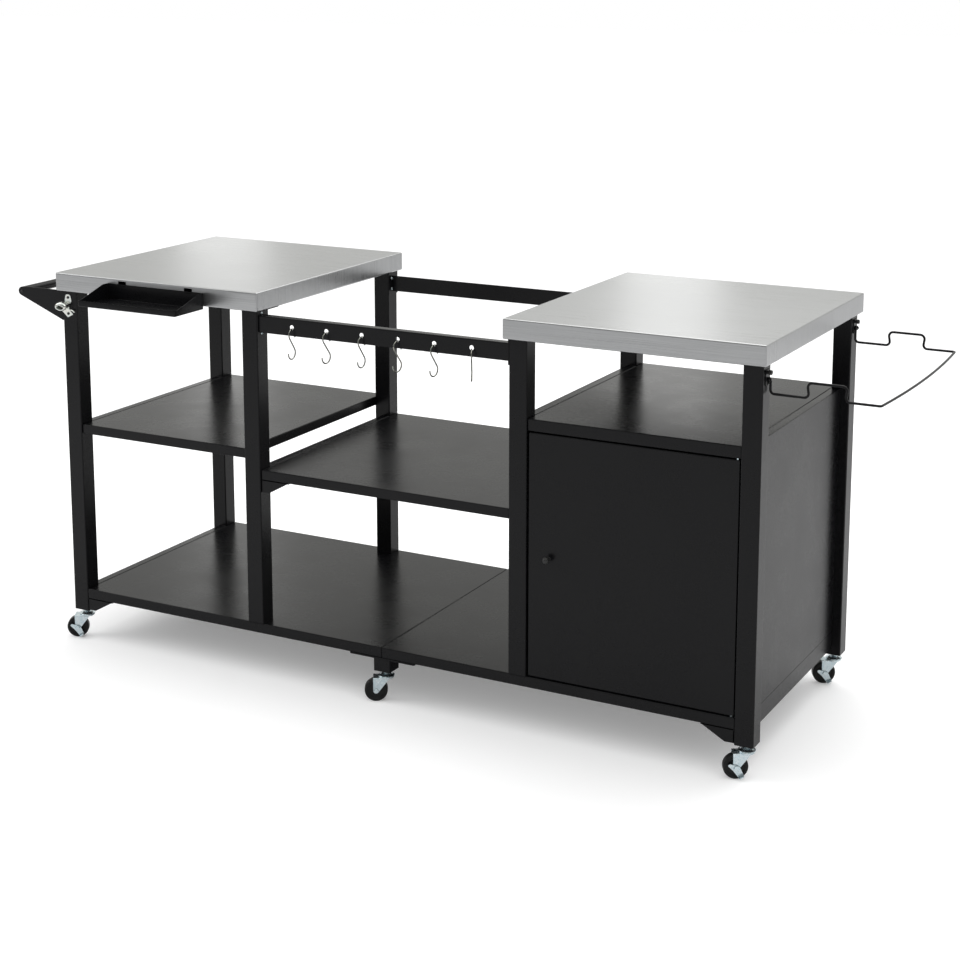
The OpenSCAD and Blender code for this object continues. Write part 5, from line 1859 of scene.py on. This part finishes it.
@dataclass
class Studio:
    """The floor, the lamps, the world and the camera.

    Args:
        eye: The camera's place in the cart's frame.
        heading: Its heading, from straight ahead towards the left.
        pitch: How far it looks down.
        focal: Its focal length, in pixels of a 960-pixel picture.
        lift: Its vertical shift.
        sight: How far it sees, in metres.
        front_wall: Brightness of the studio's dark side, behind the camera, in reflections.
        back_wall: Brightness of the studio's far side in reflections.
        wall_ramp: Where the walls' brightness starts and stops rising, from 0 in front to 1 behind.
        ceiling: What the bright ceiling adds to reflections.
        ceiling_ramp: Where the ceiling starts and is full, from 0 below to 1 above.
        wall_colour: Colour of the walls in reflections.
        floor_half: Half the floor's side in metres.
        floor_grey: How pale the floor is.
        floor_glow: Light that the floor adds for the camera alone.
        strip: Width, height and power of the strip lamps behind the tabletops.
        strip_shares: Where each tabletop mirrors its strip lamp, as a share of its width.
        lamps: The soft lamps.
    """

    eye: Triple = (2823.85, -3250.14, 1593.02)
    heading: float = 28.1
    pitch: float = 10.28
    focal: float = 1885.11
    lift: float = -0.2
    sight: float = 50.0
    front_wall: float = 0.26
    back_wall: float = 0.82
    wall_ramp: Point = (0.28, 0.62)
    ceiling: float = 1.1
    ceiling_ramp: Point = (0.80, 0.90)
    wall_colour: Triple = (1.0, 1.0, 0.965)
    floor_half: float = 30.0
    floor_grey: float = 0.88
    floor_glow: float = 0.22
    strip: Triple = (0.4, 1.6, 1.6)
    strip_shares: Point = (0.45, 0.42)
    lamps: tuple[Lamp, ...] = (Lamp("top_lamp", (0.3, 1.2, 3.2), 3.5, 60.0),
                               Lamp("left_lamp", (-3.0, -1.5, 2.2), 1.8, 26.0))

    def camera(self) -> None:
        """Puts the camera where the photo was taken."""
        data = bpy.data.cameras.new("camera")
        data.sensor_width = SENSOR
        data.lens = self.focal / PICTURE * SENSOR
        data.shift_y = self.lift
        data.clip_end = self.sight
        angles = (math.radians(90 - self.pitch), 0, math.radians(self.heading))
        place = (Vector(self.eye) - Vector(CART.origin)) * MM
        bpy.context.scene.camera = place_object("camera", data, place, angles)

    def floor(self) -> None:
        """Lays the pale floor, which shows white to the camera but keeps the cart's shadow."""
        made = bpy.data.meshes.new("floor")
        shape = bmesh.new()
        bmesh.ops.create_grid(shape, x_segments=1, y_segments=1, size=self.floor_half)
        shape.to_mesh(made)
        shape.free()
        floor = place_object("floor", made)
        material = bpy.data.materials.new("pale_floor")
        material.use_nodes = True
        graph = Graph(material.node_tree)
        seen = graph.node("ShaderNodeLightPath", output="Is Camera Ray")
        grey = self.floor_grey
        pale = graph.node("ShaderNodeBsdfDiffuse", {}, {"Color": (grey, grey, grey, 1)})
        strength = seen * self.floor_glow
        glow = graph.node("ShaderNodeEmission", {}, {"Color": (1, 1, 1, 1), "Strength": strength})
        both = graph.node("ShaderNodeAddShader", {}, {0: pale, 1: glow})
        graph.node("ShaderNodeOutputMaterial", {}, {"Surface": both})
        made.materials.append(material)

    def world(self) -> None:
        """Surrounds the cart with white; reflections see a darker side in front and a bright ceiling."""
        world = bpy.data.worlds.new("studio")
        world.use_nodes = True
        graph = Graph(world.node_tree)
        mirrored = graph.node("ShaderNodeLightPath", output="Is Glossy Ray")
        way = graph.node("ShaderNodeTexCoord", output="Generated")
        ahead = graph.node("ShaderNodeSeparateXYZ", {}, {0: way}, "Y")
        upwards = graph.node("ShaderNodeSeparateXYZ", {}, {0: way}, "Z")
        low, high = self.ceiling_ramp
        overhead = graph.ramp(upwards * 0.5 + 0.5, [(low, 0.0), (high, 1.0)])
        near, far = self.wall_ramp
        wall = graph.ramp(ahead * 0.5 + 0.5, [(near, self.front_wall), (far, self.back_wall)])
        wall = wall + overhead * self.ceiling
        colour = graph.blend(mirrored, (1.0, 1.0, 1.0), self.wall_colour)
        strength = 1 - mirrored * (1 - wall)
        light = graph.node("ShaderNodeBackground", {}, {"Color": colour, "Strength": strength})
        graph.node("ShaderNodeOutputWorld", {}, {"Surface": light})
        bpy.context.scene.world = world

    def lamp(self, lamp: Lamp) -> None:
        """Hangs a soft lamp.

        Args:
            lamp: The lamp.
        """
        data = bpy.data.lights.new(lamp.name, "AREA")
        data.size, data.energy = lamp.size, lamp.power
        way = Vector(AIM) - Vector(lamp.place)
        place_object(lamp.name, data, lamp.place, way.to_track_quat("-Z", "Y").to_euler())

    def strips(self) -> None:
        """Stands a strip lamp where each tabletop mirrors it, so that the steel shows a bright band."""
        width, height, power = self.strip
        eye = Vector(self.eye)
        for number, (start, share) in enumerate(zip((0, CART.top_w + CART.bridge), self.strip_shares), 1):
            middle = Vector((start + CART.top_w * share, CART.top_d / 2, CART.top_z))
            away = middle - eye
            place = (middle + Vector((away.x, away.y, -away.z)) - Vector(CART.origin)) * MM
            data = bpy.data.lights.new(f"strip_lamp_{number}", "AREA")
            data.shape = "RECTANGLE"
            data.size, data.size_y, data.energy = width, height, power
            angles = (math.radians(90), 0, math.atan2(away.y, away.x) + math.radians(90))
            place_object(data.name, data, place, angles).visible_camera = False

    def build(self) -> None:
        """Sets up the studio."""
        self.camera()
        self.floor()
        self.world()
        for lamp in self.lamps:
            self.lamp(lamp)
        self.strips()
        bpy.context.scene.view_settings.view_transform = "Standard"


def kept_nodes(frame: dict) -> None:
    """Dresses the CAD nodes whose shape is already right.
    """
    legs = [name for name in frame["nodes"] if name.startswith("leg_") and name != "leg_plugs"]
    dress(frame, POWDER, [*legs, "stub_legs", "under_pans", "top_plates", "cabinet_panels"])
    dress(frame, ZINC, ["hinge_pins"])
    dress(frame, PLASTIC, ["door_catch", "leg_plugs"])


def main() -> None:
    """Builds the cart's looks round the CAD frame."""
    logging.basicConfig(level=logging.INFO, format="%(message)s")
    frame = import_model()
    Studio().build()
    kept_nodes(frame)
    for assembly in (Tops, Shelves, Cabinet, BayRails, PushHandle, Tray, BagHoop, Casters, Screws):
        assembly().build()


if __name__ == "__main__":
    main()
